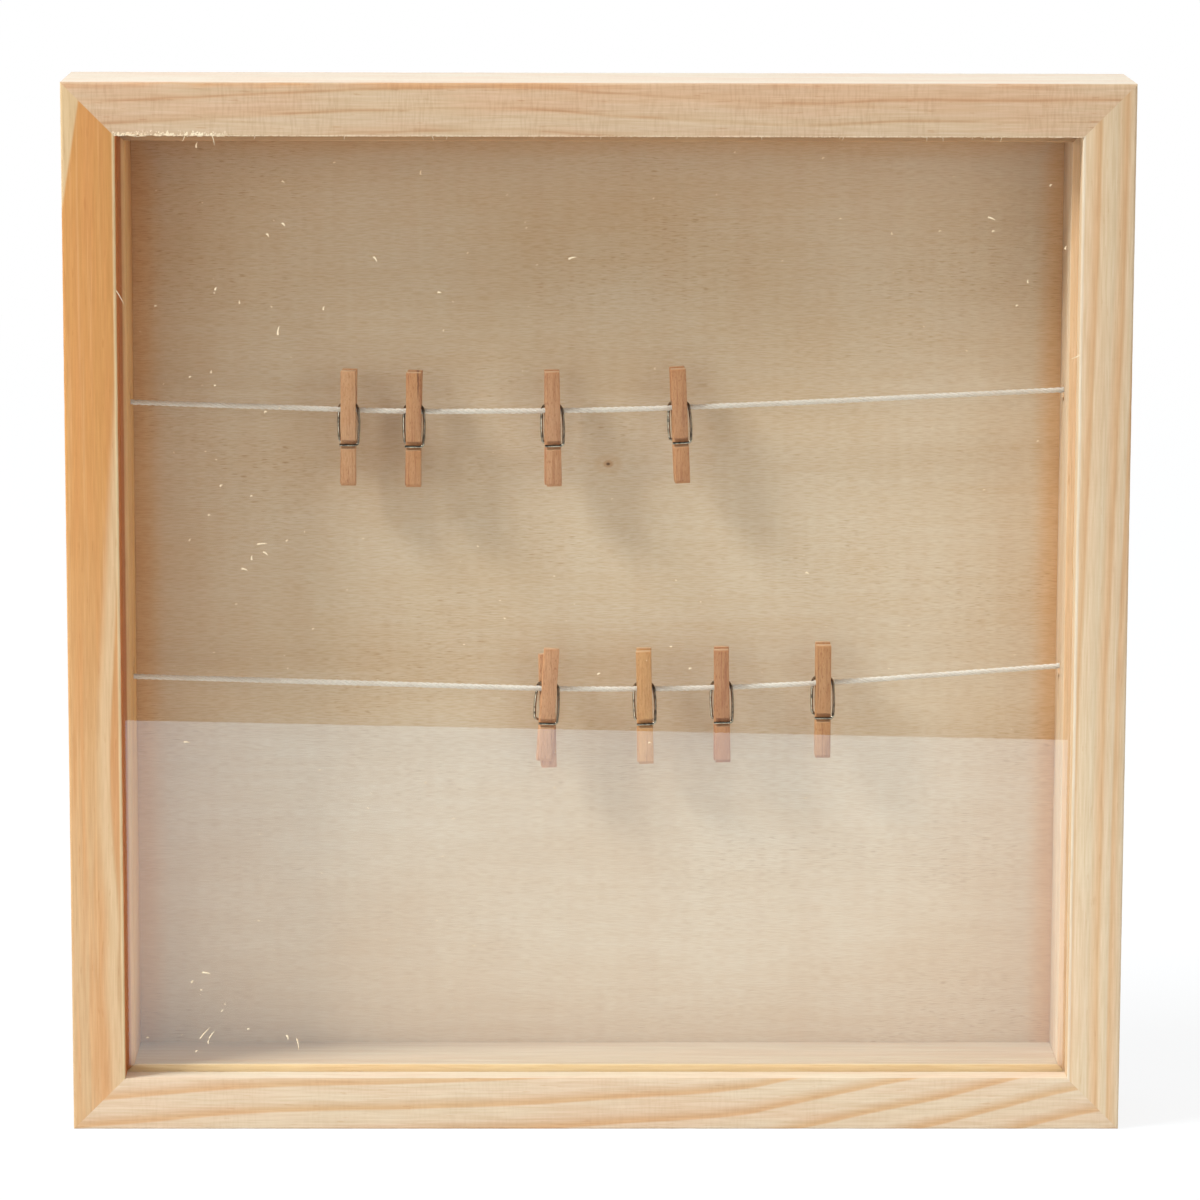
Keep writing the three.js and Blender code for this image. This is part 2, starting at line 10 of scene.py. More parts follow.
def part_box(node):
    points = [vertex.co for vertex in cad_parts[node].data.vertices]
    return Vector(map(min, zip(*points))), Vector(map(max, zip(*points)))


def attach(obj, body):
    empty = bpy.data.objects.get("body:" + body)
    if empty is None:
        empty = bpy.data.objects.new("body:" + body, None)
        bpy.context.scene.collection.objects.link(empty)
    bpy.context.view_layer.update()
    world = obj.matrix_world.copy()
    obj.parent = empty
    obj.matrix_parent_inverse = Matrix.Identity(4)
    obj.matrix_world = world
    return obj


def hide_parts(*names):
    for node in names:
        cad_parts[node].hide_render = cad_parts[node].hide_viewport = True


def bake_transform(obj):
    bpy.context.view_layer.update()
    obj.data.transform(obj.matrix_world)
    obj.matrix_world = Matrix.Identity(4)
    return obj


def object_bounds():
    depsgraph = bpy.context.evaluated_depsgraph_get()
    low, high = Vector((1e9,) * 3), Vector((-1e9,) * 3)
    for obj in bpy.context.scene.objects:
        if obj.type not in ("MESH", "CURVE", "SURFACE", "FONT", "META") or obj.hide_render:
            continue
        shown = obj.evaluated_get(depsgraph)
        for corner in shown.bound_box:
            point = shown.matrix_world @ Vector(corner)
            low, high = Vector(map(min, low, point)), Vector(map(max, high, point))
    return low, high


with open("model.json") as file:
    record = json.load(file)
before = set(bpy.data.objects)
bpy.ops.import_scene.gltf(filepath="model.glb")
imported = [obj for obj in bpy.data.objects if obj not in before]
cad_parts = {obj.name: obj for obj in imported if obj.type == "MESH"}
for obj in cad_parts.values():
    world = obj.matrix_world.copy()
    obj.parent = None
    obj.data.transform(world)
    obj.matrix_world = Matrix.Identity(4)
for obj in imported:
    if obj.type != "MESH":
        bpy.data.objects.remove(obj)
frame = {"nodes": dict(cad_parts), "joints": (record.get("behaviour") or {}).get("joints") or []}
cad_box = [list(corner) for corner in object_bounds()]

# Clothespin photo frame: pine rails, a clear pane, a plywood back, two strung cords and eight clothespins.
# Lengths are metres. MM turns millimetres into them.
MM = 0.001

# Camera, as the photograph sees the frame
CAMERA_PLACE = (-0.01629, -1.56888, 0.41679)
CAMERA_YAW = 0.0109
CAMERA_PITCH = 0.1681
CAMERA_ROLL = 0.0028
CAMERA_LENS = 166.64
SENSOR_WIDTH = 36

# Cords: the [x, z] points of each route from knot to knot, and how the three strands lie
UPPER_ROUTE = [
    (-0.140, 0.20734), (-0.132, 0.20706), (-0.114, 0.20644), (-0.096, 0.20586), (-0.084, 0.20545),
    (-0.0713, 0.2050), (-0.0607, 0.2047), (-0.0524, 0.20456), (-0.045, 0.20453), (-0.0336, 0.2046),
    (-0.0221, 0.2047), (-0.0128, 0.2048), (-0.0022, 0.20498), (0.0064, 0.20518), (0.015, 0.20543),
    (0.0237, 0.20575), (0.0407, 0.20647), (0.0578, 0.20726), (0.075, 0.2081), (0.092, 0.20896),
    (0.1092, 0.20982), (0.1264, 0.21068), (0.133, 0.21102), (0.140, 0.21138),
]
LOWER_ROUTE = [
    (-0.140, 0.12779), (-0.132, 0.12756), (-0.114, 0.12704), (-0.096, 0.12651), (-0.078, 0.12598),
    (-0.060, 0.12546), (-0.045, 0.12502), (-0.030, 0.12456), (-0.0146, 0.12416), (-0.0063, 0.12405),
    (0.003, 0.1240), (0.0139, 0.12406), (0.0269, 0.12428), (0.0358, 0.12452), (0.044, 0.12483),
    (0.054, 0.1253), (0.0652, 0.1259), (0.076, 0.1266), (0.088, 0.12747), (0.100, 0.12838),
    (0.116, 0.1296), (0.133, 0.1309), (0.140, 0.13144),
]
CORD_LAY = 6.0 * MM
STRAND_COUNT = 3
STRAND_RADIUS = 0.385 * MM
STRAND_OFFSET = 0.415 * MM
CORD_STEP = 0.45 * MM
STRAND_SIDES = 9
KNOT_SIDES = 10

# Clothespins. Heights run up from the coil's centre, as in the source of the frame.
HANDLE_LENGTH = 11.6 * MM
JAW_LENGTH = 21.5 * MM
LEG_WIDTH = 4.3 * MM
LEG_OUTER = 3.75 * MM
LEG_INNER = 0.15 * MM
HANDLE_TAPER = math.radians(7.5)
HANDLE_CHAMFER = 0.5 * MM
TIP_CHAMFER = 1.0 * MM
LINE_NOTCH_RADIUS = 1.1 * MM
LINE_NOTCH_DROP = 6.2 * MM
GROOVE_RADIUS = 2.35 * MM
LEG_EASE = 0.22 * MM
REAR_LEANS = {1: 1.2, 2: 1.2, 3: 1.2, 5: -5, 6: 1.2, 7: 1.2}
REAR_SHIFTS = {5: 1.8 * MM}
FRONT_SHIFTS = {5: -0.7 * MM}

# Clothespin springs
WIRE_RADIUS = 0.4 * MM
WIRE_SIDES = 12
TURN_STEPS = 36
ARM_STEPS = 16
BEND_STEPS = 6
COIL_RADIUS = 1.65 * MM
COIL_PITCH = 1.24 * MM
COIL_TURNS = 3.5
FLARE_TURN = 0.25
BAR_DROP = 9.7 * MM
BAR_OUT = 3.5 * MM
BAR_TAIL = 0.3 * MM
BEND_RADIUS = 1.0 * MM
ARM_OUT = 2.85 * MM
ARM_BULGE = 0.2 * MM
NOTCH_TOP = 1.35 * MM - BAR_DROP
NOTCH_FLOOR = 2.8 * MM
NOTCH_BOTTOM = -BAR_DROP - 0.7 * MM
NOTCH_RUN = 0.6 * MM

# Rails
FACE_WIDTH = 15 * MM
LIP_THICKNESS = 7.94 * MM
PANE_AIR = 0.06 * MM
WALL_THICKNESS = 10 * MM
FRAME_DEPTH = 40 * MM
ARRIS_RADIUS = 0.7 * MM
LIP_ARRIS_RADIUS = 0.6 * MM
TORN_ARRIS_RADIUS = 0.22 * MM
BACK_LIP_RADIUS = 0.2 * MM
BACK_WALL_RADIUS = 0.4 * MM
ARRIS_STEPS = 4
ARRIS_WEAR = 0.08 * MM
TEAR_DEPTH = 0.4 * MM
TEAR_ZONE = 1.2 * MM
RAIL_STEP = 0.75 * MM
TEAR_PLACE = -0.121
TEAR_REACH = 0.018

# Torn fibres, and specks on the pane, in millimetres and degrees. A splinter is [x, z, run across, run up]
# and a speck is [x, z, length, turn].
SPLINTER_SEED = 11
FLECK_SEED = 7
TEAR_COUNT = 64
EDGE_SPLINTER_COUNT = 16
DUST_COUNT = 110
LONG_SPLINTERS = [(-107.8, 285.1, 0.6, -2.9), (-115.5, 285.0, -0.8, -1.6), (-135.2, 242.0, 2.4, -4.4),
                  (135.1, 224.0, -2.6, -1.2)]
FLECKS = [
    (-124.5, 236.5, 0.8, 0), (-107.5, 241.5, 1.1, 60), (-109, 218, 0.9, 80), (-115, 216.5, 0.8, 20),
    (-108, 214, 0.7, 0), (-122.5, 214.5, 0.6, 40), (-106.5, 185.5, 1.0, 30), (-110, 177, 0.8, 0),
    (-115.5, 170, 0.9, 50), (131.5, 253.5, 1.2, 70), (118, 237, 0.9, 10), (121, 244, 1.2, 80),
    (127, 271, 1.0, 30), (124.5, 198.5, 0.7, 0), (82.5, 257.5, 0.9, 90), (111, 258, 0.9, 0),
    (110.5, 261.5, 2.4, -25), (96, 258, 0.8, 0), (63, 278.5, 0.8, 20), (68, 261.5, 0.7, 0),
    (-88.5, 271.5, 1.1, -40), (-88.5, 259.5, 1.3, -50), (-93, 256.5, 1.2, -60), (-112.5, 282, 1.8, 75),
    (-74, 277, 0.8, 0), (-112.5, 26.5, 4.6, 48), (-110.5, 26, 3.0, 52), (-111.5, 24, 1.4, 75),
    (-86, 23, 3.6, -82), (-89, 25, 1.6, -75), (-115, 21, 0.9, 30), (-100, 27.5, 0.8, 0),
    (-112, 44, 2.6, -12), (-116, 41.5, 1.0, 40), (-113.5, 39, 0.8, 0), (-107.5, 33, 0.9, 50),
    (-129, 25, 0.8, 0), (-117, 111.5, 1.8, -10), (26.5, 133, 1.0, 0), (0.5, 131.5, 1.1, 20),
    (15, 111.5, 0.9, 0), (-102.5, 151.5, 0.7, 0), (-90, 229.8, 2.8, 78), (-98, 165, 1.5, 80),
    (-95, 168.8, 3.0, 2), (-88, 169.8, 0.9, 30), (59.5, 160.5, 1.2, -30), (109.5, 184.5, 0.8, 0),
    (-7.2, 250.3, 2.6, 12), (-98, 182.5, 0.7, 0),
    (-94.2, 166, 1.7, -40), (-100.1, 161.4, 2.0, -22), (-77.2, 236.1, 1.3, 70), (-49.8, 274.4, 1.4, 80),
    (-93.8, 206.5, 0.9, 0), (-62.8, 249.8, 1.9, -60), (-44.7, 240.4, 1.3, -12), (-100.9, 237.8, 1.1, 85),
]

# Light
PANE_INDEX = 1.8
LOW_FILL = (0.446, 0.380, 0.291, 1.0)
HIGH_FILL = (0.85, 1.0, 1.15, 1.0)
FRONT_GLOSS = 0.1
BACK_GLOSS = 1.0
FLOOR_GLOW = 0.85
FLOOR_HALF = 6.0
FLOOR_BACK = 14.0
VEIL_REACH = 0.5925
VEIL_SKEW = 0.106
VEIL_FOOT = (-98.0, -68.0)
CARD_HALF = 0.9
CARD_GAP = 4 * MM
CARD_LIFT = 0.4 * MM
VEIL_GLOW = 1.81
VEIL_FAR_TINT = (0.66, 0.93, 1.12, 1.0)
VEIL_NEAR_TINT = (1.0, 1.14, 1.18, 1.0)
KEY_HEADING = (24, 10, -23)
KEY_COLOUR = (0.92, 0.99, 1.03)
KEY_DISTANCE = 4.0
KEY_SIZE = 1.1
KEY_POWER = 157
# Fill lamps: name, place and power
FILLS = [("left_fill", (-1.5, -1.9, 0.6), 6), ("right_fill", (1.5, -1.7, 0.6), 5)]
FILL_SIZE = 1.2
FILL_COLOUR = (1.0, 0.98, 0.95)

low, high = Vector(cad_box[0]), Vector(cad_box[1])
centre = (low + high) / 2
HALF_WIDTH = (high.x - low.x) / 2
TOP = high.z
FRONT = low.y
BACK = FRONT + FRAME_DEPTH
CORD_PLANE = (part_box("upper_cord")[0].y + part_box("upper_cord")[1].y) / 2
PANE_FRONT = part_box("pane")[0].y


def srgb(red, green, blue):
    """A colour given as 0 to 255 screen values, as the linear values that shaders take."""
    def linear(value):
        share = value / 255
        return share / 12.92 if share <= 0.04045 else ((share + 0.055) / 1.055) ** 2.4
    return (linear(red), linear(green), linear(blue), 1.0)


def link(thing):
    bpy.context.scene.collection.objects.link(thing)
    return thing


# Camera
def make_camera():
    forward = Vector((
        math.sin(CAMERA_YAW) * math.cos(CAMERA_PITCH),
        math.cos(CAMERA_YAW) * math.cos(CAMERA_PITCH),
        -math.sin(CAMERA_PITCH),
    ))
    level = Vector((math.cos(CAMERA_YAW), -math.sin(CAMERA_YAW), 0))
    upright = level.cross(forward)
    right = level * math.cos(CAMERA_ROLL) + upright * math.sin(CAMERA_ROLL)
    up = upright * math.cos(CAMERA_ROLL) - level * math.sin(CAMERA_ROLL)
    data = bpy.data.cameras.new("photo_camera")
    data.lens = CAMERA_LENS
    data.sensor_width = SENSOR_WIDTH
    data.clip_start = 0.01
    data.clip_end = 100
    camera = link(bpy.data.objects.new("photo_camera", data))
    axes = Matrix((right, up, -forward)).transposed()
    camera.matrix_world = Matrix.Translation(CAMERA_PLACE) @ axes.to_4x4()
    bpy.context.scene.camera = camera


# Mesh making
def mesh_piece(name, points, faces, material, smooth=True):
    mesh = bpy.data.meshes.new(name)
    mesh.from_pydata([tuple(point) for point in points], [], faces)
    shape = bmesh.new()
    shape.from_mesh(mesh)
    bmesh.ops.recalc_face_normals(shape, faces=shape.faces)
    shape.to_mesh(mesh)
    shape.free()
    mesh.polygons.foreach_set("use_smooth", [smooth] * len(mesh.polygons))
    mesh.materials.append(material)
    return link(bpy.data.objects.new(name, mesh))


def shade_by_angle(piece, degrees):
    """Smooth shading, with edges steeper than the angle kept sharp."""
    mesh = piece.data
    mesh.polygons.foreach_set("use_smooth", [True] * len(mesh.polygons))
    mesh.set_sharp_from_angle(angle=math.radians(degrees))


def settle(piece):
    """Makes a piece's modifiers part of its mesh."""
    graph = bpy.context.evaluated_depsgraph_get()
    mesh = bpy.data.meshes.new_from_object(piece.evaluated_get(graph))
    piece.modifiers.clear()
    piece.data = mesh


def bevel(piece, width, segments, degrees):
    modifier = piece.modifiers.new("eased edges", "BEVEL")
    modifier.width = width
    modifier.segments = segments
    modifier.limit_method = "ANGLE"
    modifier.angle_limit = math.radians(degrees)
    settle(piece)


def carve(piece, tool):
    modifier = piece.modifiers.new("cut", "BOOLEAN")
    modifier.operation = "DIFFERENCE"
    modifier.solver = "EXACT"
    modifier.object = tool
    settle(piece)
    bpy.data.objects.remove(tool)


def cad_copy(node, name, material):
    """A new piece with a CAD node's shape, its flat faces made whole again."""
    mesh = frame["nodes"][node].data.copy()
    mesh.materials.clear()
    shape = bmesh.new()
    shape.from_mesh(mesh)
    bmesh.ops.remove_doubles(shape, verts=shape.verts, dist=0.001 * MM)
    bmesh.ops.dissolve_limit(shape, angle_limit=math.radians(1), verts=shape.verts, edges=shape.edges)
    shape.to_mesh(mesh)
    shape.free()
    mesh.materials.append(material)
    return link(bpy.data.objects.new(name, mesh))


def dress(piece, body, node):
    """Puts a piece on its body in place of a CAD node, and hides the node."""
    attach(piece, body)
    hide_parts(node)


def make_from_cad(node, name, body, material, ease, segments=2, degrees=40, behind=None):
    """A CAD node's shape with eased edges. behind is a plane that no point of it stands in front of."""
    piece = cad_copy(node, name, material)
    if behind is not None:
        for vertex in piece.data.vertices:
            vertex.co.y = max(vertex.co.y, behind)
    bevel(piece, ease, segments, degrees)
    shade_by_angle(piece, 40)
    dress(piece, body, node)


def ring_faces(first, sides, rings):
    """Faces of a closed skin over rings of points that follow each other from the first point on."""
    faces = []
    for start in range(first, first + (rings - 1) * sides, sides):
        for side in range(sides):
            here, turn = start + side, start + (side + 1) % sides
            faces.append((here, turn, turn + sides, here + sides))
    last = first + (rings - 1) * sides
    return faces + [tuple(range(first, first + sides)), tuple(range(last, last + sides))]


def tube_skin(line, radii, sides, points, faces):
    """Adds a tube along a line of points to the lists, its rings carried along without twist."""
    count = len(line)
    along = [(line[min(i + 1, count - 1)] - line[max(i - 1, 0)]).normalized() for i in range(count)]
    start = Vector((0, 0, 1)) if abs(along[0].z) < 0.7 else Vector((1, 0, 0))
    normal = (start - along[0] * start.dot(along[0])).normalized()
    first = len(points)
    for i in range(count):
        if i > 0:
            normal = along[i - 1].rotation_difference(along[i]) @ normal
        other = along[i].cross(normal)
        for side in range(sides):
            angle = side / sides * math.tau
            across = normal * math.cos(angle) + other * math.sin(angle)
            points.append(line[i] + across * radii[i])
    faces += ring_faces(first, sides, count)


def arc(x, y, radius, start, end, steps):
    """Points of an arc in a plane, ends included."""
    return [
        (x + radius * math.cos(start + (end - start) * i / steps),
         y + radius * math.sin(start + (end - start) * i / steps))
        for i in range(steps + 1)
    ]


def turned_size(node):
    """A turned CAD node's axis (x and z), its largest radius, its front end and its back end."""
    low_corner, high_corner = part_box(node)
    x, z = (low_corner.x + high_corner.x) / 2, (low_corner.z + high_corner.z) / 2
    return x, z, (high_corner.x - low_corner.x) / 2, low_corner.y, high_corner.y


def lathe_along_y(profile, x, z, sides):
    """Points and faces of a turned form. A profile point is (radius, y), and its ends lie on the axis."""
    points, faces, rings = [], [], []
    for radius, y in profile:
        if radius == 0:
            rings.append([len(points)])
            points.append(Vector((x, y, z)))
            continue
        rings.append([len(points) + side for side in range(sides)])
        for side in range(sides):
            angle = side / sides * math.tau
            points.append(Vector((x + radius * math.cos(angle), y, z + radius * math.sin(angle))))
    for before, after in zip(rings, rings[1:]):
        for side in range(sides):
            turn = (side + 1) % sides
            quad = [before[side % len(before)], before[turn % len(before)],
                    after[turn % len(after)], after[side % len(after)]]
            faces.append(tuple(dict.fromkeys(quad)))
    return points, faces


# Materials
class Value:
    """A node's output. Sums, products and quotients of values become math nodes."""

    def __init__(self, look, socket):
        self.look, self.socket = look, socket

    def __add__(self, other):
        return self.look.math("ADD", self, other)

    def __sub__(self, other):
        return self.look.math("SUBTRACT", self, other)

    def __rsub__(self, other):
        return self.look.math("SUBTRACT", other, self)

    def __mul__(self, other):
        return self.look.math("MULTIPLY", self, other)

    def __truediv__(self, other):
        return self.look.math("DIVIDE", self, other)

    def __rtruediv__(self, other):
        return self.look.math("DIVIDE", other, self)

    def axes(self):
        first = self.look.node("ShaderNodeSeparateXYZ", [self])
        return [Value(self.look, socket) for socket in first.socket.node.outputs]

    def noise(self, scale=1.0, detail=2, roughness=0.5, distortion=0.0):
        inputs = {"Vector": self, "Scale": scale, "Detail": detail, "Roughness": roughness}
        return self.look.node("ShaderNodeTexNoise", {**inputs, "Distortion": distortion})

    def grain(self, stretch, *settings):
        """Noise that is finer along an axis the larger its stretch is."""
        vector = self.look.node("ShaderNodeVectorMath", [self, stretch], operation="MULTIPLY")
        return vector.noise(*settings)

    def spread(self, from_low, from_high, to_low=0.0, to_high=1.0, kind="SMOOTHSTEP"):
        inputs = [self, from_low, from_high, to_low, to_high]
        return self.look.node("ShaderNodeMapRange", inputs, interpolation_type=kind)

    def ramp(self, stops, kind="LINEAR"):
        value = self.look.node("ShaderNodeValToRGB", [self])
        ramp = value.socket.node.color_ramp
        ramp.interpolation = kind
        while len(ramp.elements) < len(stops):
            ramp.elements.new(1.0)
        for element, (share, colour) in zip(ramp.elements, stops):
            element.position = share
            element.color = colour
        return value

    def curve(self, stops):
        """A smooth curve through given points, each [share along, share of the height]."""
        value = self.look.node("ShaderNodeFloatCurve", {"Value": self})
        mapping = value.socket.node.mapping
        points = mapping.curves[0].points
        while len(points) < len(stops):
            points.new(0.5, 0.5)
        for point, place in zip(points, stops):
            point.location = place
        mapping.update()
        return value


class Look:
    """A material, or another owner of nodes, whose nodes are added one by one."""

    def __init__(self, name, owner=None, output="ShaderNodeOutputMaterial"):
        self.material = owner or bpy.data.materials.new(name)
        self.material.use_nodes = True
        self.tree = self.material.node_tree
        self.tree.nodes.clear()
        self.output = self.tree.nodes.new(output)

    def put(self, socket, value):
        if isinstance(value, Value):
            self.tree.links.new(value.socket, socket)
        else:
            socket.default_value = value

    def node(self, kind, inputs=(), result=0, **settings):
        """A new node's output. Inputs are values or constants, in the order of the sockets or by name."""
        node = self.tree.nodes.new(kind)
        for key, setting in settings.items():
            setattr(node, key, setting)
        for key, value in inputs.items() if isinstance(inputs, dict) else enumerate(inputs):
            self.put(node.inputs[key], value)
        return Value(self, node.outputs[result])

    def show(self, shader):
        self.put(self.output.inputs["Surface"], shader)
        return self.material

    def math(self, operation, *values):
        return self.node("ShaderNodeMath", values, operation=operation)

    def larger(self, first, second):
        return self.math("MAXIMUM", first, second)

    def ray(self, kind):
        return self.node("ShaderNodeLightPath", result=f"Is {kind} Ray")

    def coordinates(self, kind):
        return self.node("ShaderNodeTexCoord", result=kind)

    def place(self):
        """The piece's own coordinates, in millimetres."""
        inputs = {0: self.coordinates("Object"), "Scale": 1 / MM}
        return self.node("ShaderNodeVectorMath", inputs, operation="SCALE")

    def slant(self, axis):
        """How far the surface faces along an axis, from -1 to 1."""
        return self.coordinates("Normal").axes()[axis]

    def joined(self, x, y, z):
        return self.node("ShaderNodeCombineXYZ", [x, y, z])

    def mix(self, factor, first, second, blend="MIX"):
        inputs = {"Factor": factor, 6: first, 7: second}
        return self.node("ShaderNodeMix", inputs, result=2, data_type="RGBA", blend_type=blend)

    def covered(self, colour, *layers):
        """The colour under layers, each [how far it covers, its screen values]."""
        for factor, screen in layers:
            colour = self.mix(factor, colour, srgb(*screen))
        return colour

    def stained(self, colour, *layers):
        """The colour multiplied by layers, each [how far it stains, its screen values]."""
        for factor, screen in layers:
            colour = self.mix(factor, colour, self.mix(1.0, colour, srgb(*screen), "MULTIPLY"))
        return colour

    def bump(self, height, strength, distance, **under):
        return self.node("ShaderNodeBump", {
            "Height": height, "Strength": strength, "Distance": distance, **under})

    def finish(self, colour, roughness, normal, **constants):
        inputs = {"Base Color": colour, "Roughness": roughness, "Normal": normal}
        inputs.update((key.replace("_", " "), value) for key, value in constants.items())
        return self.show(self.node("ShaderNodeBsdfPrincipled", inputs))


WHITE = (1.0, 1.0, 1.0, 1.0)


def scaled(colour, share):
    return tuple(part * share for part in colour[:3]) + (1.0,)


def halfway(first, second):
    return tuple((a + b) / 2 for a, b in zip(first, second))


def laid(grain, stretch):
    """A stretch that is given for a grain along x, turned for a grain along z."""
    return stretch if grain == "X" else stretch[::-1]


def wood_finish(look, colour, mm, grain, ripple, fleck, tone):
    """Fibre streaks, cutter ripple, resin flecks and their relief, over the colour of the rings."""
    stretch, short = laid(grain, (0.04, 1.0, 1.0)), laid(grain, (0.12, 1.0, 1.0))
    across = laid(grain, (1.0, 0.1, 0.14))
    fibre, fine = mm.grain(stretch, 1.5), mm.grain(stretch, 3.1, 1)
    cloud, speck = mm.grain(short, 0.16, 3), mm.grain(short, 1.3, 2, 0.4)
    cutter, patch = mm.grain(across, 1.35, 1, 0.6), mm.grain(across, 0.09)
    rippled = cutter.spread(0.4, 0.68) * patch.spread(0.3, 0.65, 0.2 * ripple, ripple)
    rippled = rippled * look.slant(1).spread(-0.7, -0.3, 1.0, 0.3)
    darker = look.mix(1.0, colour, srgb(247, 243, 237), "MULTIPLY")
    colour = look.stained(
        look.mix(fibre.spread(0.3, 0.7), darker, colour),
        (fine.spread(0.3, 0.75, 0.0, 0.35), (232, 222, 208)),
        (cloud.spread(0.35, 0.65, 0.0, tone), (255, 240, 234)),
        (rippled, (232, 222, 212)),
        (speck.spread(0.66, 0.74, 0.0, fleck), (226, 196, 164)),
    )
    normal = look.bump(fine * 0.6 + fibre * 0.4, 0.3, 0.12 * MM)
    normal = look.bump(rippled, 0.25, 0.08 * MM, Normal=normal)
    return look.finish(colour, fibre.spread(0.2, 0.8, 0.52, 0.7, "LINEAR"), normal, Specular_IOR_Level=0.35)


def inset_axes(look, mm, side):
    """Millimetres in from a rail's outer edge, share along it, and millimetres back from the front."""
    x, y, z = mm.axes()
    depth = y - FRONT / MM
    if side in ("top", "bottom"):
        along = look.math("MULTIPLY_ADD", x, 0.5 * MM / HALF_WIDTH, 0.5)
        return TOP / MM - z if side == "top" else z, along, depth
    return x + HALF_WIDTH / MM if side == "left" else HALF_WIDTH / MM - x, z * (MM / TOP), depth


def waviness(mm, grain, amount):
    """A slow wander of the rings, in millimetres."""
    stretch = laid(grain, (0.02, 0.12, 0.12))
    slow, quick = mm.grain(stretch), mm.grain(stretch, 6.0)
    return (slow - 0.5) * amount + (quick - 0.5) * (amount * 0.18)


def painted_arris_highlight(inset, depth):
    """How far a place is on the arris of the lip, where a highlight is painted."""
    return inset.spread(13.9, 14.5, 0.0, 0.85) * depth.spread(0.5, 1.0, 1.0, 0.0)


# Rises of the rings along the rails: [share along the rail, share of the reach]
TOP_RISE = [(0.0, 0.9), (0.06, 0.78), (0.14, 0.6), (0.22, 0.42), (0.3, 0.26), (0.4, 0.2), (0.5, 0.44),
            (0.6, 0.68), (0.7, 0.83), (0.78, 0.7), (0.88, 0.73), (1.0, 0.7)]
TOP_REACH = 6.6
BOTTOM_RISE = [(0.0, 0.0), (0.08, 0.06), (0.17, 0.12), (0.33, 0.16), (0.44, 0.195), (0.53, 0.25),
               (0.63, 0.31), (0.68, 0.39), (0.76, 0.535), (0.82, 0.64), (0.88, 0.77), (0.95, 0.92),
               (1.0, 1.0)]
BOTTOM_REACH = 36.0
STRIP_PLACE = [(0.0, 0.63), (0.08, 0.62), (0.14, 0.57), (0.2, 0.59), (0.27, 0.53), (0.34, 0.5), (0.5, 0.6),
               (0.61, 0.7), (0.68, 0.78), (0.8, 0.9), (1.0, 1.0)]
STRIP_REACH = 20.0
RIGHT_RISE = [(0.0, 1.0), (0.12, 1.0), (0.35, 0.93), (0.57, 0.57), (0.69, 0.33), (0.94, 0.0), (1.0, 0.0)]
RIGHT_REACH = 4.2


def rings_look(name, side, rise, reach, period, stops, sink, wander):
    """Pine whose rings repeat across a level rail's face, follow a chosen rise and sink into the depth."""
    look = Look(name)
    mm = look.place()
    inset, along, depth = inset_axes(look, mm, side)
    field = inset - along.curve(rise) * reach + depth * sink + waviness(mm, "X", wander)
    colour = look.math("FRACT", field / period).ramp(stops)
    return look, mm, inset, along, depth, colour


def top_pine():
    pale, warm, line = srgb(211, 186, 157), srgb(208, 179, 147), srgb(197, 160, 123)
    stops = [(0.0, line), (0.035, srgb(207, 176, 142)), (0.1, pale), (0.55, pale), (0.88, warm),
             (0.965, line)]
    look, mm, inset, along, depth, colour = rings_look(
        "top_pine", "top", TOP_RISE, TOP_REACH, 6.0, stops, 0.35, 0.9)
    fading = mm.grain((0.025, 0.3, 0.3))
    patchy = mm.grain((0.03, 1.0, 0.2)).spread(0.4, 0.62, 0.1, 0.8)
    edge = inset.spread(0.8, 2.4, 1.0, 0.0) * depth.spread(0.5, 1.5, 1.0, 0.0)
    edge = edge * (patchy * along.spread(0.35, 0.6, 1.0, 0.35))
    # Fringe along the lip's arris: torn fibres where the saw broke out the lip, and a weaker band along the
    # whole arris.
    strands = mm.grain((1.2, 1.0, 0.9), 1.7, 2, 0.6) + inset.spread(13.2, 14.9, -0.07, 0.13)
    x = mm.axes()[0]
    torn = x.spread(-141.0, -137.0) * x.spread(-110.0, -100.0, 1.0, 0.0)
    torn = look.larger(torn, inset.spread(14.4, 14.8) * 0.45)
    colour = look.covered(
        colour,
        (fading.spread(0.42, 0.62, 0.0, 0.75), (212, 186, 155)),
        (edge, (211, 160, 112)),
        # Painted light: the rail's top face is made paler and whiter, as if lit strongly from above.
        (inset.spread(0.3, 0.8, 0.8, 0.0) * depth.spread(0.6, 1.6), (237, 225, 208)),
        # Partly the paler colour of fresh torn fibres and partly a painted highlight where they catch the
        # light; along the rest of the arris it is only a painted highlight.
        (torn * strands.spread(0.54, 0.64) * inset.spread(13.1, 13.6), (253, 240, 212)),
    )
    return wood_finish(look, colour, mm, "X", ripple=0.42, fleck=0.4, tone=0.7)


def bottom_pine():
    pale, tan = srgb(219, 200, 174), srgb(212, 176, 135)
    brown, soft = srgb(209, 175, 135), srgb(213, 187, 156)
    stops = [(0.0, pale), (0.07, tan), (0.17, brown), (0.32, soft), (0.5, pale), (0.95, pale)]
    look, mm, inset, _, depth, colour = rings_look(
        "bottom_pine", "bottom", BOTTOM_RISE, BOTTOM_REACH, 7.5, stops, 0.3, 0.8)
    # Painted light: the lip's upward face is made paler, as if lit strongly from above.
    painted_lit_lip_top = inset.spread(14.4, 14.9) * depth.spread(0.3, 0.8)
    colour = look.covered(colour, (painted_lit_lip_top * 0.85, (243, 230, 209)))
    return wood_finish(look, colour, mm, "X", ripple=0.2, fleck=0.3, tone=0.5)


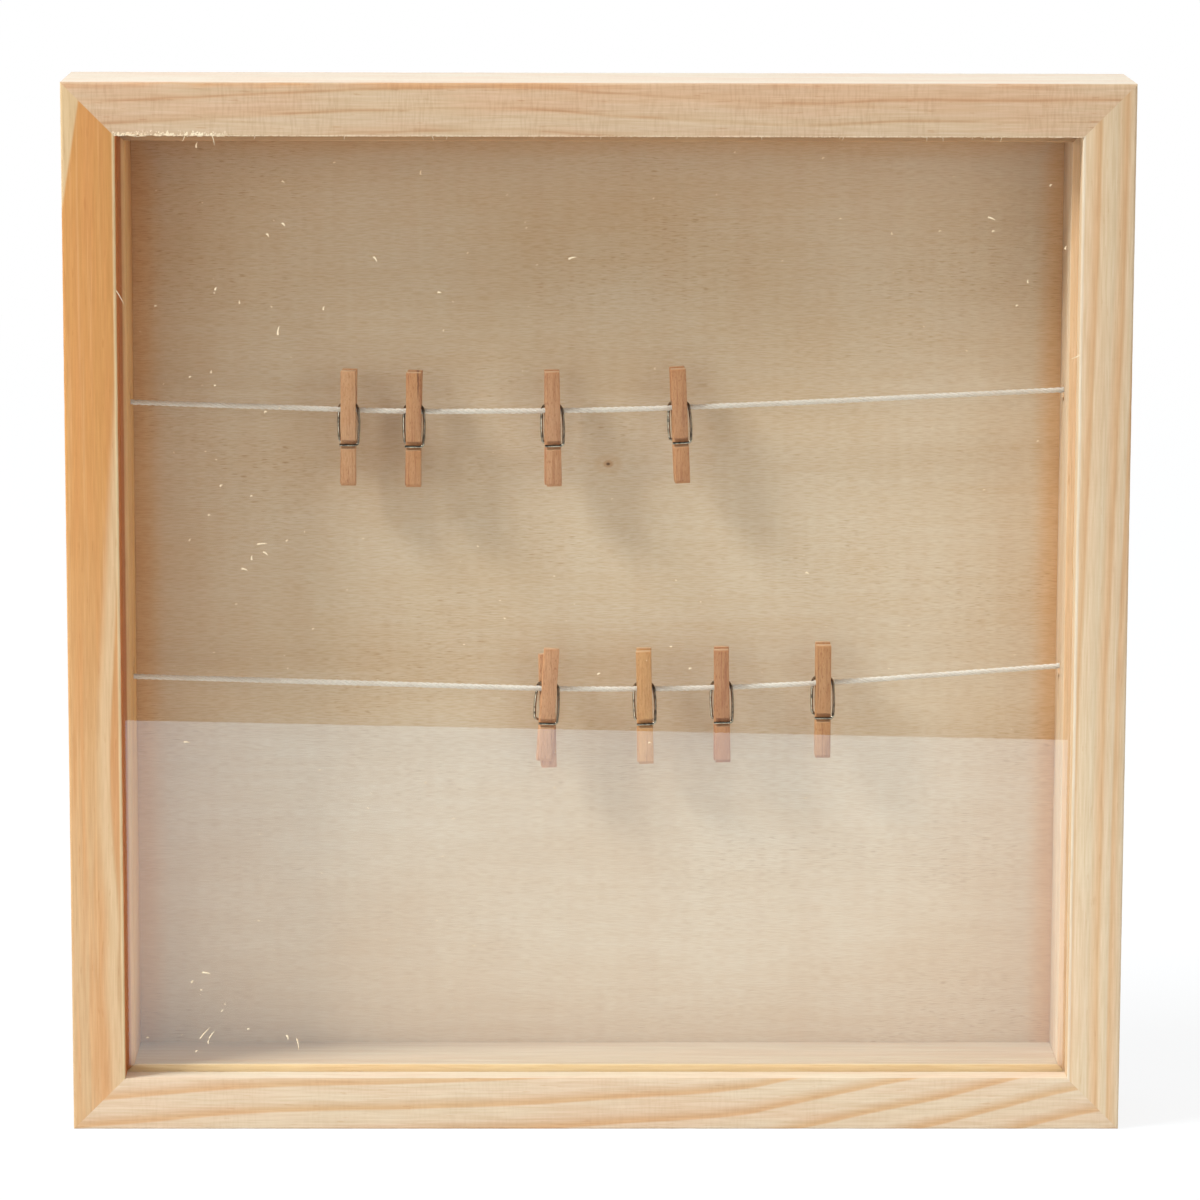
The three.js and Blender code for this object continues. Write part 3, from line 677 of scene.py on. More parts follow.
def left_pine():
    """Orange heartwood that pales downwards, with a wandering pale strip and a pale wedge at the top."""
    look = Look("left_pine")
    mm = look.place()
    inset, along, depth = inset_axes(look, mm, "left")
    wander = waviness(mm, "Z", 0.8)
    deep, strands = mm.grain((0.3, 0.3, 0.012)), mm.grain((1.0, 1.0, 0.01), 1.1)
    away = inset - wander + along.curve(STRIP_PLACE) * -STRIP_REACH + depth * 0.3
    strip = away.spread(-3.2, -0.2) * away.spread(1.2, 2.1, 1.0, 0.0)
    wedge = inset - (along * (TOP / MM) - 262.0) * 0.16 + (wander * 0.4 + depth * 0.3)
    colour = look.covered(
        look.mix(along.spread(0.05, 0.7), srgb(204, 169, 127), srgb(205, 147, 81)),
        (deep.spread(0.42, 0.66, 0.0, 0.5), (210, 146, 84)),
        (strands.spread(0.5, 0.72, 0.0, 0.35), (220, 174, 122)),
        (strip * 0.85, (217, 186, 146)),
        (away.spread(1.6, 2.6) * along.spread(0.12, 0.3, 0.0, 0.55), (209, 145, 88)),
        (wedge.spread(-0.6, 0.2, 1.0, 0.0), (213, 184, 142)),
        # Painted highlight: a cream line along the lip's arris.
        (painted_arris_highlight(inset, depth), (228, 204, 162)),
        # Painted shade: the lip's inner side face is made dark orange-brown, as it lies in shadow.
        (inset.spread(14.8, 14.95) * depth.spread(0.8, 1.6), (206, 122, 60)),
    )
    return wood_finish(look, colour, mm, "Z", ripple=0.04, fleck=0.3, tone=0.15)


def right_pine():
    look = Look("right_pine")
    mm = look.place()
    inset, along, depth = inset_axes(look, mm, "right")
    field = inset + waviness(mm, "Z", 0.8) - along.curve(RIGHT_RISE) * RIGHT_REACH + depth * 0.25
    pale, clean = srgb(217, 197, 167), srgb(223, 200, 168)
    tan, soft = srgb(212, 174, 131), srgb(218, 186, 148)
    stops = [(0.0, pale), (0.14, pale), (0.2, soft), (0.225, tan), (0.245, pale), (0.3, clean), (0.33, tan),
             (0.36, soft), (0.42, pale), (0.54, clean), (0.565, tan), (0.6, soft), (0.64, clean),
             (0.76, clean), (0.8, tan), (0.84, pale), (1.0, clean)]
    colour = field.spread(-8.0, 24.0, 0.0, 1.0, "LINEAR").ramp(stops)
    colour = look.stained(colour, (along.spread(0.1, 0.7), (249, 246, 243)))
    # Painted highlight: a pale line along the lip's arris.
    colour = look.covered(colour, (painted_arris_highlight(inset, depth), (216, 203, 182)))
    return wood_finish(look, colour, mm, "Z", ripple=0.06, fleck=0.25, tone=0.3)


def slip_pine(side, dark, pale, front, reach, shaded_hole_heights):
    """A slip's pine. Its front face takes another colour for reach millimetres in from the lip, a painted
    shade on the left and top slips and a painted light on the right and bottom ones. The last argument gives
    the heights, in millimetres, of the cord holes, round which the shade inside the holes is painted as dark
    brown rings."""
    look = Look(f"spacer_{side}_pine")
    mm = look.place()
    grain = "X" if side in ("top", "bottom") else "Z"
    rings = mm.grain(laid(grain, (0.012, 0.35, 0.35)), 1.2, 3)
    colour = rings.ramp([(0.25, dark), (0.45, halfway(dark, pale)), (0.6, pale), (0.75, dark)])
    _, y, z = mm.axes()
    # Painted shade: dark brown rings round the cord holes, standing for the shade inside them.
    for height in shaded_hole_heights:
        across, up = y - CORD_PLANE / MM, z - height
        away = look.math("SQRT", across * across + up * up * 0.25)
        colour = look.covered(colour, (away.spread(0.4, 1.3, 0.75, 0.0), (152, 96, 50)))
    inset = inset_axes(look, mm, side)[0]
    rim = FACE_WIDTH / MM + reach
    # Front faces get their own colour: painted shade on the left and top slips, painted light on the right
    # and bottom ones.
    painted_front_mask = look.slant(1).spread(-0.7, -0.3, 1.0, 0.0) * inset.spread(rim - 0.3, rim + 0.3, 1.0, 0.0)
    return wood_finish(look, look.mix(painted_front_mask, colour, front), mm, grain, ripple=0.04, fleck=0.3, tone=0.3)


def plywood():
    """Rotary-cut veneer: soft clouds, short dark dashes, a pin knot, and plies at the edges."""
    knot_x, knot_z = 3.2, 188.0
    look = Look("plywood")
    mm = look.place()
    x, y, z = mm.axes()
    away_x, away_z = x - knot_x, z - knot_z
    away = look.math("SQRT", away_x * away_x + away_z * away_z * 2.0)
    bent = look.joined(x, y, z + 6.0 / (away + 2.0) * look.math("SIGN", away_z))
    cloud, band = bent.grain((0.012, 0.03, 0.02), 1.0, 3), bent.grain((0.03, 0.2, 0.4), 1.0, 3, 0.55)
    fibre, peel = bent.grain((0.32, 2.0, 3.4)), bent.grain((0.3, 0.05, 0.03))
    dash, patch = bent.grain((0.34, 2.0, 3.2), 1.0, 1, 0.35), bent.grain((0.02, 0.02, 0.035))
    dash = dash.spread(0.6, 0.74) * patch.spread(0.42, 0.65, 0.1, 0.7)
    # Painted shade: a warm darker band on the panel's front along the left, right and top edges, next to the
    # slips.
    rim = look.larger(x.spread(-132.0, -123.0, 0.85, 0.0), x.spread(124.0, 132.0, 0.0, 0.85))
    rim = look.larger(rim, z.spread(274.0, 283.0, 0.0, 0.7))
    slant = look.slant(1)
    ring = away.spread(1.4, 2.6) * away.spread(3.0, 5.0, 1.0, 0.0)
    colour = cloud.ramp([(0.3, srgb(213, 187, 156)), (0.5, srgb(217, 195, 168)), (0.7, srgb(220, 200, 175))])
    # Painted light: the panel is made brighter towards the right, where the left stile does not block the key
    # light.
    painted_light_right = look.mix(1.0, colour, (1.14, 1.19, 1.25, 1.0), "MULTIPLY")
    colour = look.stained(
        look.mix(x.spread(-30.0, 125.0), colour, painted_light_right),
        # Painted warm shade along the edges.
        (rim * slant.spread(-0.6, -0.2, 1.0, 0.0), (255, 226, 190)),
        (band.spread(0.3, 0.7, 0.0, 0.5), (249, 242, 232)),
        (peel.spread(0.3, 0.7, 0.0, 0.4), (250, 244, 240)),
        (fibre.spread(0.38, 0.68, 0.0, 0.75), (241, 232, 220)),
        (dash, (222, 204, 182)),
    )
    colour = look.covered(
        colour,
        (ring * 0.35, (200, 160, 116)),
        (away.spread(0.8, 2.2, 0.8, 0.0), (190, 144, 98)),
        (away.spread(0.3, 0.8, 0.9, 0.0), (96, 62, 38)),
    )
    front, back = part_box("back_panel")
    outer_ply, inner_ply = srgb(214, 184, 146), srgb(168, 126, 86)
    plies = y.spread(front.y / MM, back.y / MM, 0.0, 1.0, "LINEAR").ramp(
        [(0.0, outer_ply), (0.3, inner_ply), (0.68, outer_ply)], "CONSTANT")
    end_grain = mm.grain((2.0, 2.0, 2.0), 1.0, 3, 0.6)
    plies = look.stained(plies, (end_grain.spread(0.3, 0.7, 0.0, 0.5), (196, 174, 148)))
    colour = look.mix(look.math("ABSOLUTE", slant).spread(0.4, 0.6, 1.0, 0.0), colour, plies)
    normal = look.bump(fibre * 0.7 + dash * -0.5, 0.3, 0.12 * MM)
    return look.finish(colour, fibre.spread(0.3, 0.7, 0.62, 0.78), normal, Specular_IOR_Level=0.3)


def peg_wood(name, tint, shade, crack=None):
    """Beech with short dark pores, paler on the faces that look up. crack is the [x, z] of a dark split's
    top, in mm.
    """
    look = Look(name)
    mm = look.place()
    grain, fibre = mm.grain((1.8, 1.8, 0.09), 1.0, 3, 0.55, 0.2), mm.grain((5.0, 5.0, 0.5), 1.0, 2, 0.6)
    pores, cloud = mm.grain((3.4, 3.4, 0.9), 1.0, 1), mm.grain((0.25, 0.25, 0.1))
    colour = look.stained(
        grain.ramp([(0.3, shade), (0.5, tint), (0.66, tint), (0.8, shade)]),
        (fibre.spread(0.35, 0.75, 0.0, 0.6), (228, 210, 192)),
        (pores.spread(0.56, 0.74, 0.0, 0.7), (208, 178, 150)),
        (cloud.spread(0.4, 0.65, 0.0, 0.4), (250, 236, 220)),
    )
    if crack:
        x, _, z = mm.axes()
        away = look.math("ABSOLUTE", x - crack[0] + (mm.noise(0.5) - 0.5) * 0.9)
        split = away.spread(0.08, 0.34, 0.75, 0.0) * z.spread(crack[1] - 9.0, crack[1] - 4.0)
        colour = look.covered(colour, (split, (112, 62, 32)))
    # Faces that look up, the tops of the handles among them, are paler.
    colour = look.covered(colour, (look.slant(2).spread(0.6, 0.9, 0.0, 0.55), (222, 190, 156)))
    normal = look.bump(fibre + pores * -0.6, 0.35, 0.1 * MM)
    return look.finish(colour, fibre.spread(0.3, 0.7, 0.5, 0.66), normal, Specular_IOR_Level=0.35)


def raw_wood():
    """Freshly torn pine, for splinters and specks."""
    look = Look("raw_wood")
    strand = look.place().noise(2.2)
    colour = look.mix(strand, srgb(238, 214, 176), srgb(248, 234, 208))
    normal = look.bump(strand, 0.3, 0.1 * MM)
    return look.finish(colour, strand.spread(0.3, 0.7, 0.6, 0.8), normal, Specular_IOR_Level=0.3)


def spring_steel():
    look = Look("spring_steel")
    mm = look.place()
    wear = mm.noise(0.55, 3, 0.6)
    colour = wear.ramp([(0.36, srgb(92, 76, 58)), (0.52, srgb(186, 170, 150)), (0.66, srgb(104, 87, 68))])
    normal = look.bump(mm.grain((1.5, 1.5, 9.0)), 0.12, 0.03 * MM)
    return look.finish(colour, wear.spread(0.3, 0.7, 0.1, 0.2), normal, Metallic=1.0)


def zinc_steel():
    look = Look("zinc_steel")
    mm = look.place()
    spangle = look.node("ShaderNodeTexVoronoi", {"Vector": mm, "Scale": 1.1}, "Color")
    wear = mm.noise(1.2, 3, 0.6)
    colour = look.mix(spangle.axes()[0] * 0.6, srgb(186, 185, 180), srgb(206, 206, 202))
    colour = look.covered(colour, (wear.spread(0.45, 0.75, 0.0, 0.6), (166, 164, 158)))
    normal = look.bump(mm.noise(9.0), 0.1, 0.03 * MM)
    return look.finish(colour, wear.spread(0.3, 0.7, 0.26, 0.44), normal, Metallic=1.0)


def cotton():
    look = Look("cotton")
    mm = look.place()
    fibre = mm.grain((2.0, 5.0, 5.0), 1.0, 4, 0.65)
    soil = mm.noise(0.09)
    colour = look.mix(soil.spread(0.35, 0.7), srgb(236, 226, 214), srgb(229, 216, 202))
    colour = look.stained(colour, (fibre.spread(0.35, 0.7, 0.0, 0.6), (226, 222, 216)))
    normal = look.bump(fibre, 0.5, 0.15 * MM)
    return look.finish(colour, fibre.spread(0.3, 0.7, 0.88, 0.98), normal, Specular_IOR_Level=0.15,
                       Sheen_Weight=0.25, Sheen_Roughness=0.6)


def clear_pane():
    """Clear sheet that lets light and the springs' reflections through, and bends only what is seen through
    it. Its front face mirrors as much as both faces of real glass, because its back face mirrors nothing."""
    look = Look("clear_pane")
    inside = look.ray("Transmission")
    bounced = look.ray("Glossy") - inside
    passing = look.larger(look.larger(look.ray("Shadow"), look.ray("Diffuse")), bounced)
    haze = look.place().noise(0.08).spread(0.35, 0.7, 0.0, 0.012)
    glass = look.node("ShaderNodeBsdfPrincipled", {
        "Base Color": (0.98, 0.99, 0.985, 1.0), "Roughness": haze, "IOR": PANE_INDEX,
        "Transmission Weight": 1.0})
    leaving = look.node("ShaderNodeBsdfRefraction", {
        "Color": (0.99, 0.99, 0.985, 1.0), "Roughness": 0.0, "IOR": PANE_INDEX})
    clear = look.node("ShaderNodeBsdfTransparent", {"Color": (0.96, 0.97, 0.965, 1.0)})
    seen = look.node("ShaderNodeMixShader", [inside, glass, leaving])
    return look.show(look.node("ShaderNodeMixShader", [passing, seen, clear]))


# Cords
def smooth_route(route, step):
    """Points along a route at a steady step in x, on a curve through its points."""
    slopes = []
    for i in range(len(route)):
        before, after = route[max(i - 1, 0)], route[min(i + 1, len(route) - 1)]
        slopes.append((after[1] - before[1]) / (after[0] - before[0]))
    count = math.ceil((route[-1][0] - route[0][0]) / step)
    points, span = [], 0
    for i in range(count + 1):
        x = route[0][0] + (route[-1][0] - route[0][0]) * i / count
        while span < len(route) - 2 and x > route[span + 1][0]:
            span += 1
        (x0, z0), (x1, z1) = route[span], route[span + 1]
        t, run = (x - x0) / (x1 - x0), x1 - x0
        z = (z0 * (2 * t ** 3 - 3 * t ** 2 + 1) + z1 * (3 * t ** 2 - 2 * t ** 3)
             + slopes[span] * run * (t ** 3 - 2 * t ** 2 + t) + slopes[span + 1] * run * (t ** 3 - t ** 2))
        points.append(Vector((x, CORD_PLANE, z)))
    return points


def make_cord(name, route, material):
    """Three strands laid round each other, each one a little uneven."""
    line = smooth_route(route, CORD_STEP)
    points, faces = [], []
    for strand in range(STRAND_COUNT):
        path, radii = [], []
        for i, point in enumerate(line):
            drift = noise.noise(Vector((i * 0.012, 7.0, route[0][1] * 50))) * 0.5
            turn = i * CORD_STEP / CORD_LAY * math.tau + strand / STRAND_COUNT * math.tau + drift
            offset = Vector((0, math.cos(turn), math.sin(turn))) * STRAND_OFFSET
            path.append(point + offset)
            radii.append(STRAND_RADIUS * (1 + 0.08 * noise.noise(Vector((i * 0.08, strand * 9.0, 3.0)))))
        tube_skin(path, radii, STRAND_SIDES, points, faces)
    piece = mesh_piece(f"{name}_twisted_cord", points, faces, material)
    dress(piece, "root", f"{name}_cord")


def make_knot(name, material):
    """An overhand knot pulled tight, with a short frayed end."""
    knot_turn, knot_swell, knot_tube, steps = 1.3 * MM, 0.72 * MM, 0.78 * MM, 60
    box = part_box(name)
    middle = (box[0] + box[1]) / 2
    side = 1 if middle.x > 0 else -1
    line = []
    for i in range(steps + 1):
        turn = i / steps * math.tau * 0.97
        reach = knot_turn + knot_swell * math.cos(3 * turn)
        line.append(middle + Vector((
            knot_swell * math.sin(3 * turn), reach * math.cos(2 * turn), reach * math.sin(2 * turn),
        )))
    line.append(line[-1] + Vector((side * 0.5 * MM, 0.2 * MM, 0.1 * MM)))
    points, faces = [], []
    tube_skin(line, [knot_tube] * len(line), KNOT_SIDES, points, faces)
    piece = mesh_piece(f"{name}_tied", points, faces, material)
    dress(piece, "root", name)


# Rails
def rounded_section(corners):
    """Points of a section whose corners, (inset, y, radius), are eased by arcs, and which are on arcs."""
    points = []
    count = len(corners)
    for i, (inset, y, radius) in enumerate(corners):
        here = Vector((inset, y))
        before = Vector(corners[i - 1][:2])
        after = Vector(corners[(i + 1) % count][:2])
        if radius == 0:
            points.append((here, False))
            continue
        to_before = (before - here).normalized()
        to_after = (after - here).normalized()
        start, end = here + to_before * radius, here + to_after * radius
        middle = start + end - here
        for step in range(ARRIS_STEPS + 1):
            angle = step / ARRIS_STEPS * math.pi / 2
            point = middle - to_after * (radius * math.cos(angle)) - to_before * (radius * math.sin(angle))
            points.append((point, True))
    return points


def rail_corners(lip_ease):
    return [
        (0, FRONT, ARRIS_RADIUS),
        (FACE_WIDTH, FRONT, lip_ease),
        (FACE_WIDTH, FRONT + LIP_THICKNESS, BACK_LIP_RADIUS),
        (WALL_THICKNESS, FRONT + LIP_THICKNESS, 0),
        (WALL_THICKNESS, BACK, BACK_WALL_RADIUS),
        (0, BACK, ARRIS_RADIUS),
    ]


def rail_point(side, along, inset, y):
    """A point of a rail: along runs from -1 to 1 between its mitres."""
    reach = along * (HALF_WIDTH - inset)
    if side == "top":
        return Vector((reach, y, TOP - inset))
    if side == "bottom":
        return Vector((reach, y, inset))
    if side == "left":
        return Vector((inset - HALF_WIDTH, y, TOP / 2 + reach))
    return Vector((HALF_WIDTH - inset, y, TOP / 2 + reach))


def make_rail(side, node, material, lip_ease=LIP_ARRIS_RADIUS, torn=0.0):
    """A rail with eased, slightly uneven arrises. torn is how far the saw has broken out the lip's."""
    section = rounded_section(rail_corners(lip_ease))
    count = math.ceil(2 * HALF_WIDTH / RAIL_STEP)
    points = []
    for station in range(count + 1):
        along = station / count * 2 - 1
        for (inset, y), arris in section:
            point = rail_point(side, along, inset, y)
            if arris:
                seed = Vector((station * 0.13, inset * 300, y * 300))
                wear = abs(noise.noise(seed)) * ARRIS_WEAR
                inset += wear if inset < FACE_WIDTH / 2 else -wear
                at_lip = inset > FACE_WIDTH - TEAR_ZONE and y < FRONT + TEAR_ZONE
                if torn and at_lip:
                    rough = noise.noise(Vector((station * 0.55, 4.0, 0.0)))
                    rough += 0.6 * noise.noise(Vector((station * 1.7, 9.0, 0.0)))
                    patch = 0.35 + max(0.0, noise.noise(Vector((station * 0.035, 2.0, 0.0)))) * 1.6
                    patch += 2.4 * max(0.0, 1 - abs(point.x - TEAR_PLACE) / TEAR_REACH)
                    inset -= torn * max(0.0, rough) * patch
                point = rail_point(side, along, inset, y)
            points.append(point)
    piece = mesh_piece(f"{node}_wood", points, ring_faces(0, len(section), count + 1), material)
    shade_by_angle(piece, 40)
    dress(piece, "root", node)


def sliver(points, faces, root, reach, width, thickness):
    """Adds a splinter that bends a little and tapers to a point."""
    side = reach.cross(Vector((0, 1, 0))).normalized() * (width / 2)
    deep = Vector((0, thickness, 0))
    first = len(points)
    shares = (0.0, 0.35, 0.7)
    for share in shares:
        middle = root + reach * share + side * (math.sin(share * math.pi) * 0.8)
        taper = 1 - share * 0.75
        points += [middle - side * taper, middle + side * taper, middle + side * taper + deep * taper,
                   middle - side * taper + deep * taper]
    points.append(root + reach + deep * 0.3)
    for ring in range(len(shares) - 1):
        here = first + ring * 4
        faces += [(here + i, here + (i + 1) % 4, here + (i + 1) % 4 + 4, here + i + 4) for i in range(4)]
    last = first + (len(shares) - 1) * 4
    faces += [(last + i, last + (i + 1) % 4, first + len(shares) * 4) for i in range(4)]
    faces.append((first, first + 1, first + 2, first + 3))


def make_splinters(material):
    """Torn fibres along the top rail's lower arris, and long splinters there and on the stiles."""
    draw = random.Random(SPLINTER_SEED)
    points, faces = [], []
    edge = TOP - FACE_WIDTH
    for _ in range(TEAR_COUNT):
        x = TEAR_PLACE + draw.uniform(-0.9, 0.9) * TEAR_REACH
        lift, turn = draw.uniform(-0.1, 1.1) * MM, math.radians(draw.uniform(-14, 34))
        length = draw.uniform(1.2, 3.6) * MM
        root = Vector((x, FRONT + draw.uniform(0.12, 0.4) * MM, edge + lift))
        reach = Vector((math.cos(turn), 0.05, math.sin(turn))) * length
        reach.z = min(reach.z, edge + 1.4 * MM - root.z)
        sliver(points, faces, root, reach, draw.uniform(0.16, 0.34) * MM, 0.12 * MM)
    for _ in range(EDGE_SPLINTER_COUNT):
        x = draw.uniform(-0.1, 0.13)
        root = Vector((x, FRONT + 0.3 * MM, edge + 0.1 * MM))
        reach = Vector((draw.uniform(-0.5, 0.5), 0.1, -1)).normalized() * (draw.uniform(0.5, 1.5) * MM)
        sliver(points, faces, root, reach, 0.16 * MM, 0.1 * MM)
    for x, z, to_x, to_z in LONG_SPLINTERS:
        root = Vector((x * MM, FRONT + 0.5 * MM, z * MM))
        sliver(points, faces, root, Vector((to_x * MM, 0.2 * MM, to_z * MM)), 0.3 * MM, 0.16 * MM)
    piece = mesh_piece("torn_fibres", points, faces, material, smooth=False)
    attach(piece, "root")


def make_flecks(material):
    """Specks of planed wood that cling to the front of the pane."""
    draw = random.Random(FLECK_SEED)
    points, faces = [], []
    dust = [(draw.uniform(-130, 130), draw.uniform(20, 282), draw.uniform(0.3, 0.7), draw.uniform(0, 180))
            for _ in range(DUST_COUNT)]
    for x, z, length, turn in FLECKS + dust:
        turn = math.radians(turn)
        reach = Vector((math.cos(turn), 0, math.sin(turn))) * (length * MM)
        thickness = 0.14 * MM
        root = Vector((x * MM, PANE_FRONT - thickness - 0.02 * MM, z * MM)) - reach / 2
        sliver(points, faces, root, reach, draw.uniform(0.4, 0.62) * min(1.0, length) * MM, thickness)
    piece = mesh_piece("wood_flecks", points, faces, material, smooth=False)
    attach(piece, "root")


# Clothespins
def leg_outline(shift):
    handle, jaw = HANDLE_LENGTH - shift, JAW_LENGTH + shift
    notch = math.acos(LEG_INNER / LINE_NOTCH_RADIUS)
    lower = math.acos(LEG_INNER / GROOVE_RADIUS)
    upper = math.acos(LEG_INNER * math.cos(HANDLE_TAPER) / GROOVE_RADIUS) - HANDLE_TAPER
    outline = [(LEG_INNER, -jaw)]
    outline += arc(0, -LINE_NOTCH_DROP, LINE_NOTCH_RADIUS, -notch, notch, 14)
    outline += arc(0, 0, GROOVE_RADIUS, -lower, upper, 20)
    outline += [
        (LEG_INNER + handle * math.tan(HANDLE_TAPER), handle),
        (LEG_OUTER - HANDLE_CHAMFER, handle),
        (LEG_OUTER, handle - HANDLE_CHAMFER),
        (LEG_OUTER, NOTCH_TOP),
        (NOTCH_FLOOR, NOTCH_TOP),
        (NOTCH_FLOOR, NOTCH_BOTTOM),
        (LEG_OUTER, NOTCH_BOTTOM - NOTCH_RUN),
        (LEG_OUTER, TIP_CHAMFER - jaw),
        (LEG_OUTER - TIP_CHAMFER, -jaw),
    ]
    return outline


def make_leg(body, matrix, shift, material):
    outline = leg_outline(shift)
    count = len(outline)
    half = LEG_WIDTH / 2
    points = [matrix @ Vector((side * half, y, z)) for side in (-1, 1) for y, z in outline]
    faces = [tuple(range(count)), tuple(range(count, 2 * count))]
    faces += [(i, (i + 1) % count, (i + 1) % count + count, i + count) for i in range(count)]
    piece = mesh_piece(f"{body}_leg_wood", points, faces, material)
    bevel(piece, LEG_EASE, 2, 35)
    shade_by_angle(piece, 35)
    dress(piece, body, f"{body}_leg")


def spring_line():
    """Centre line of a spring, front crossbar to rear crossbar."""
    half_steps = int(COIL_TURNS * TURN_STEPS / 2)
    flare_steps = int(FLARE_TURN * TURN_STEPS)
    right = []
    for step in range(half_steps + 1):
        angle = math.pi - (half_steps - step) / TURN_STEPS * math.tau
        flare = max(0.0, (step - half_steps + flare_steps) / flare_steps)
        flare = flare * flare * (3 - 2 * flare)
        x = COIL_PITCH * step / TURN_STEPS * (1 - flare) + ARM_OUT * flare
        right.append(Vector((x, COIL_RADIUS * math.cos(angle), COIL_RADIUS * math.sin(angle))))
    for step in range(1, ARM_STEPS + 1):
        down = step / ARM_STEPS
        y = -(COIL_RADIUS + (BAR_OUT - COIL_RADIUS) * down)
        x = ARM_OUT + ARM_BULGE * math.sin(math.pi * down)
        right.append(Vector((x, y, -(BAR_DROP - BEND_RADIUS) * down)))
    for step in range(1, BEND_STEPS + 1):
        angle = step / BEND_STEPS * math.pi / 2
        right.append(Vector((
            ARM_OUT - BEND_RADIUS * (1 - math.cos(angle)), -BAR_OUT,
            -BAR_DROP + BEND_RADIUS * (1 - math.sin(angle)),
        )))
    bar_end = -LEG_WIDTH / 2 - BAR_TAIL
    bar_start = ARM_OUT - BEND_RADIUS
    for step in range(1, BEND_STEPS + 1):
        x = bar_start + (bar_end - bar_start) * step / BEND_STEPS
        right.append(Vector((x, -BAR_OUT, -BAR_DROP)))
    left = [Vector((-point.x, -point.y, point.z)) for point in reversed(right[1:])]
    return left + right


def make_spring(number, matrix, material):
    line = [matrix @ point for point in spring_line()]
    points, faces = [], []
    tube_skin(line, [WIRE_RADIUS] * len(line), WIRE_SIDES, points, faces)
    piece = mesh_piece(f"peg_{number}_spring_wire", points, faces, material)
    shade_by_angle(piece, 50)
    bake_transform(piece)
    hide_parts(f"peg_{number}_spring")


PEG_TINTS = {
    1: ((203, 154, 111), (188, 133, 92)),
    2: ((196, 143, 97), (172, 110, 69)),
    3: ((199, 147, 106), (181, 126, 86)),
    4: ((195, 141, 97), (176, 120, 79)),
    5: ((210, 158, 116), (192, 136, 97)),
    6: ((207, 155, 101), (193, 139, 88)),
    7: ((190, 136, 94), (170, 110, 74)),
    8: ((194, 142, 95), (172, 119, 76)),
}
CRACKED_PEG = 2


def make_peg(number, steel):
    """A clothespin where its opening joint says, turned as its axis says."""
    joint = next(j for j in frame["joints"] if j["name"] == f"peg_{number}_open")
    across = -Vector(joint["axis"]).normalized()
    lean = math.asin(-across.z)
    yaw = math.atan2(across.y, across.x)
    turned = Matrix.Rotation(yaw, 4, "Z") @ Matrix.Rotation(lean, 4, "Y")
    matrix = Matrix.Translation(joint["pos_m"]) @ turned
    tint, shade = PEG_TINTS[number]
    crack = None
    if number == CRACKED_PEG:
        crack = ((joint["pos_m"][0] + LEG_WIDTH * 0.27) / MM, (joint["pos_m"][2] + HANDLE_LENGTH) / MM)
    wood = peg_wood(f"peg_{number}_wood", srgb(*tint), srgb(*shade), crack)
    rear = matrix @ Matrix.Rotation(math.radians(REAR_LEANS.get(number, 0)), 4, "Y")
    make_leg(f"peg_{number}_rear", rear, REAR_SHIFTS.get(number, 0), wood)
    front = matrix @ Matrix.Rotation(math.pi, 4, "Z")
    make_leg(f"peg_{number}_front", front, FRONT_SHIFTS.get(number, 0), wood)
    make_spring(number, matrix, steel)


# Hardware on the back
def make_screw(number, material):
    """A pan-head screw with a cross recess."""
    node = f"turn_screw_{number}"
    x, z, radius, front, back = turned_size(node)
    shaft, tip, dome_steps = 1.2 * MM, 3 * MM, 8
    seat = back - 1.3 * MM
    profile = [(0, front), (shaft, front + tip), (shaft, seat), (radius - 0.15 * MM, seat),
               (radius, seat + 0.15 * MM), (radius, seat + 0.45 * MM)]
    for step in range(1, dome_steps):
        angle = step / dome_steps * math.pi / 2
        profile.append((radius * math.cos(angle) ** 0.7, seat + 0.45 * MM + 0.85 * MM * math.sin(angle)))
    profile.append((0, back))
    points, faces = lathe_along_y(profile, x, z, 32)
    piece = mesh_piece(f"{node}_head", points, faces, material)
    long, wide, deep = 1.5 * MM, 0.3 * MM, 0.9 * MM
    for turn in (0.3, 0.3 + math.pi / 2):
        spin = Matrix.Translation((x, back, z)) @ Matrix.Rotation(turn + number, 4, "Y")
        corners = [spin @ Vector((u * long, v * deep, w * wide)) for v in (-1, 1) for u, w in
                   ((-1, -1), (1, -1), (1, 1), (-1, 1))]
        sides = [(0, 1, 2, 3), (4, 5, 6, 7)] + [(i, (i + 1) % 4, (i + 1) % 4 + 4, i + 4) for i in range(4)]
        carve(piece, mesh_piece("recess", corners, sides, material, smooth=False))
    shade_by_angle(piece, 35)
    dress(piece, "root", node)


def make_nail(side, material):
    node = f"hanger_nail_{side}"
    x, z, radius, front, back = turned_size(node)
    shaft, head, tip = 0.6 * MM, 0.6 * MM, 2 * MM
    seat = back - head
    profile = [(0, front), (shaft, front + tip), (shaft, seat), (radius - 0.1 * MM, seat),
               (radius, seat + 0.12 * MM), (radius * 0.92, seat + 0.36 * MM),
               (radius * 0.6, back - 0.06 * MM), (0, back)]
    points, faces = lathe_along_y(profile, x, z, 28)
    piece = mesh_piece(f"{node}_head", points, faces, material)
    shade_by_angle(piece, 35)
    dress(piece, "root", node)


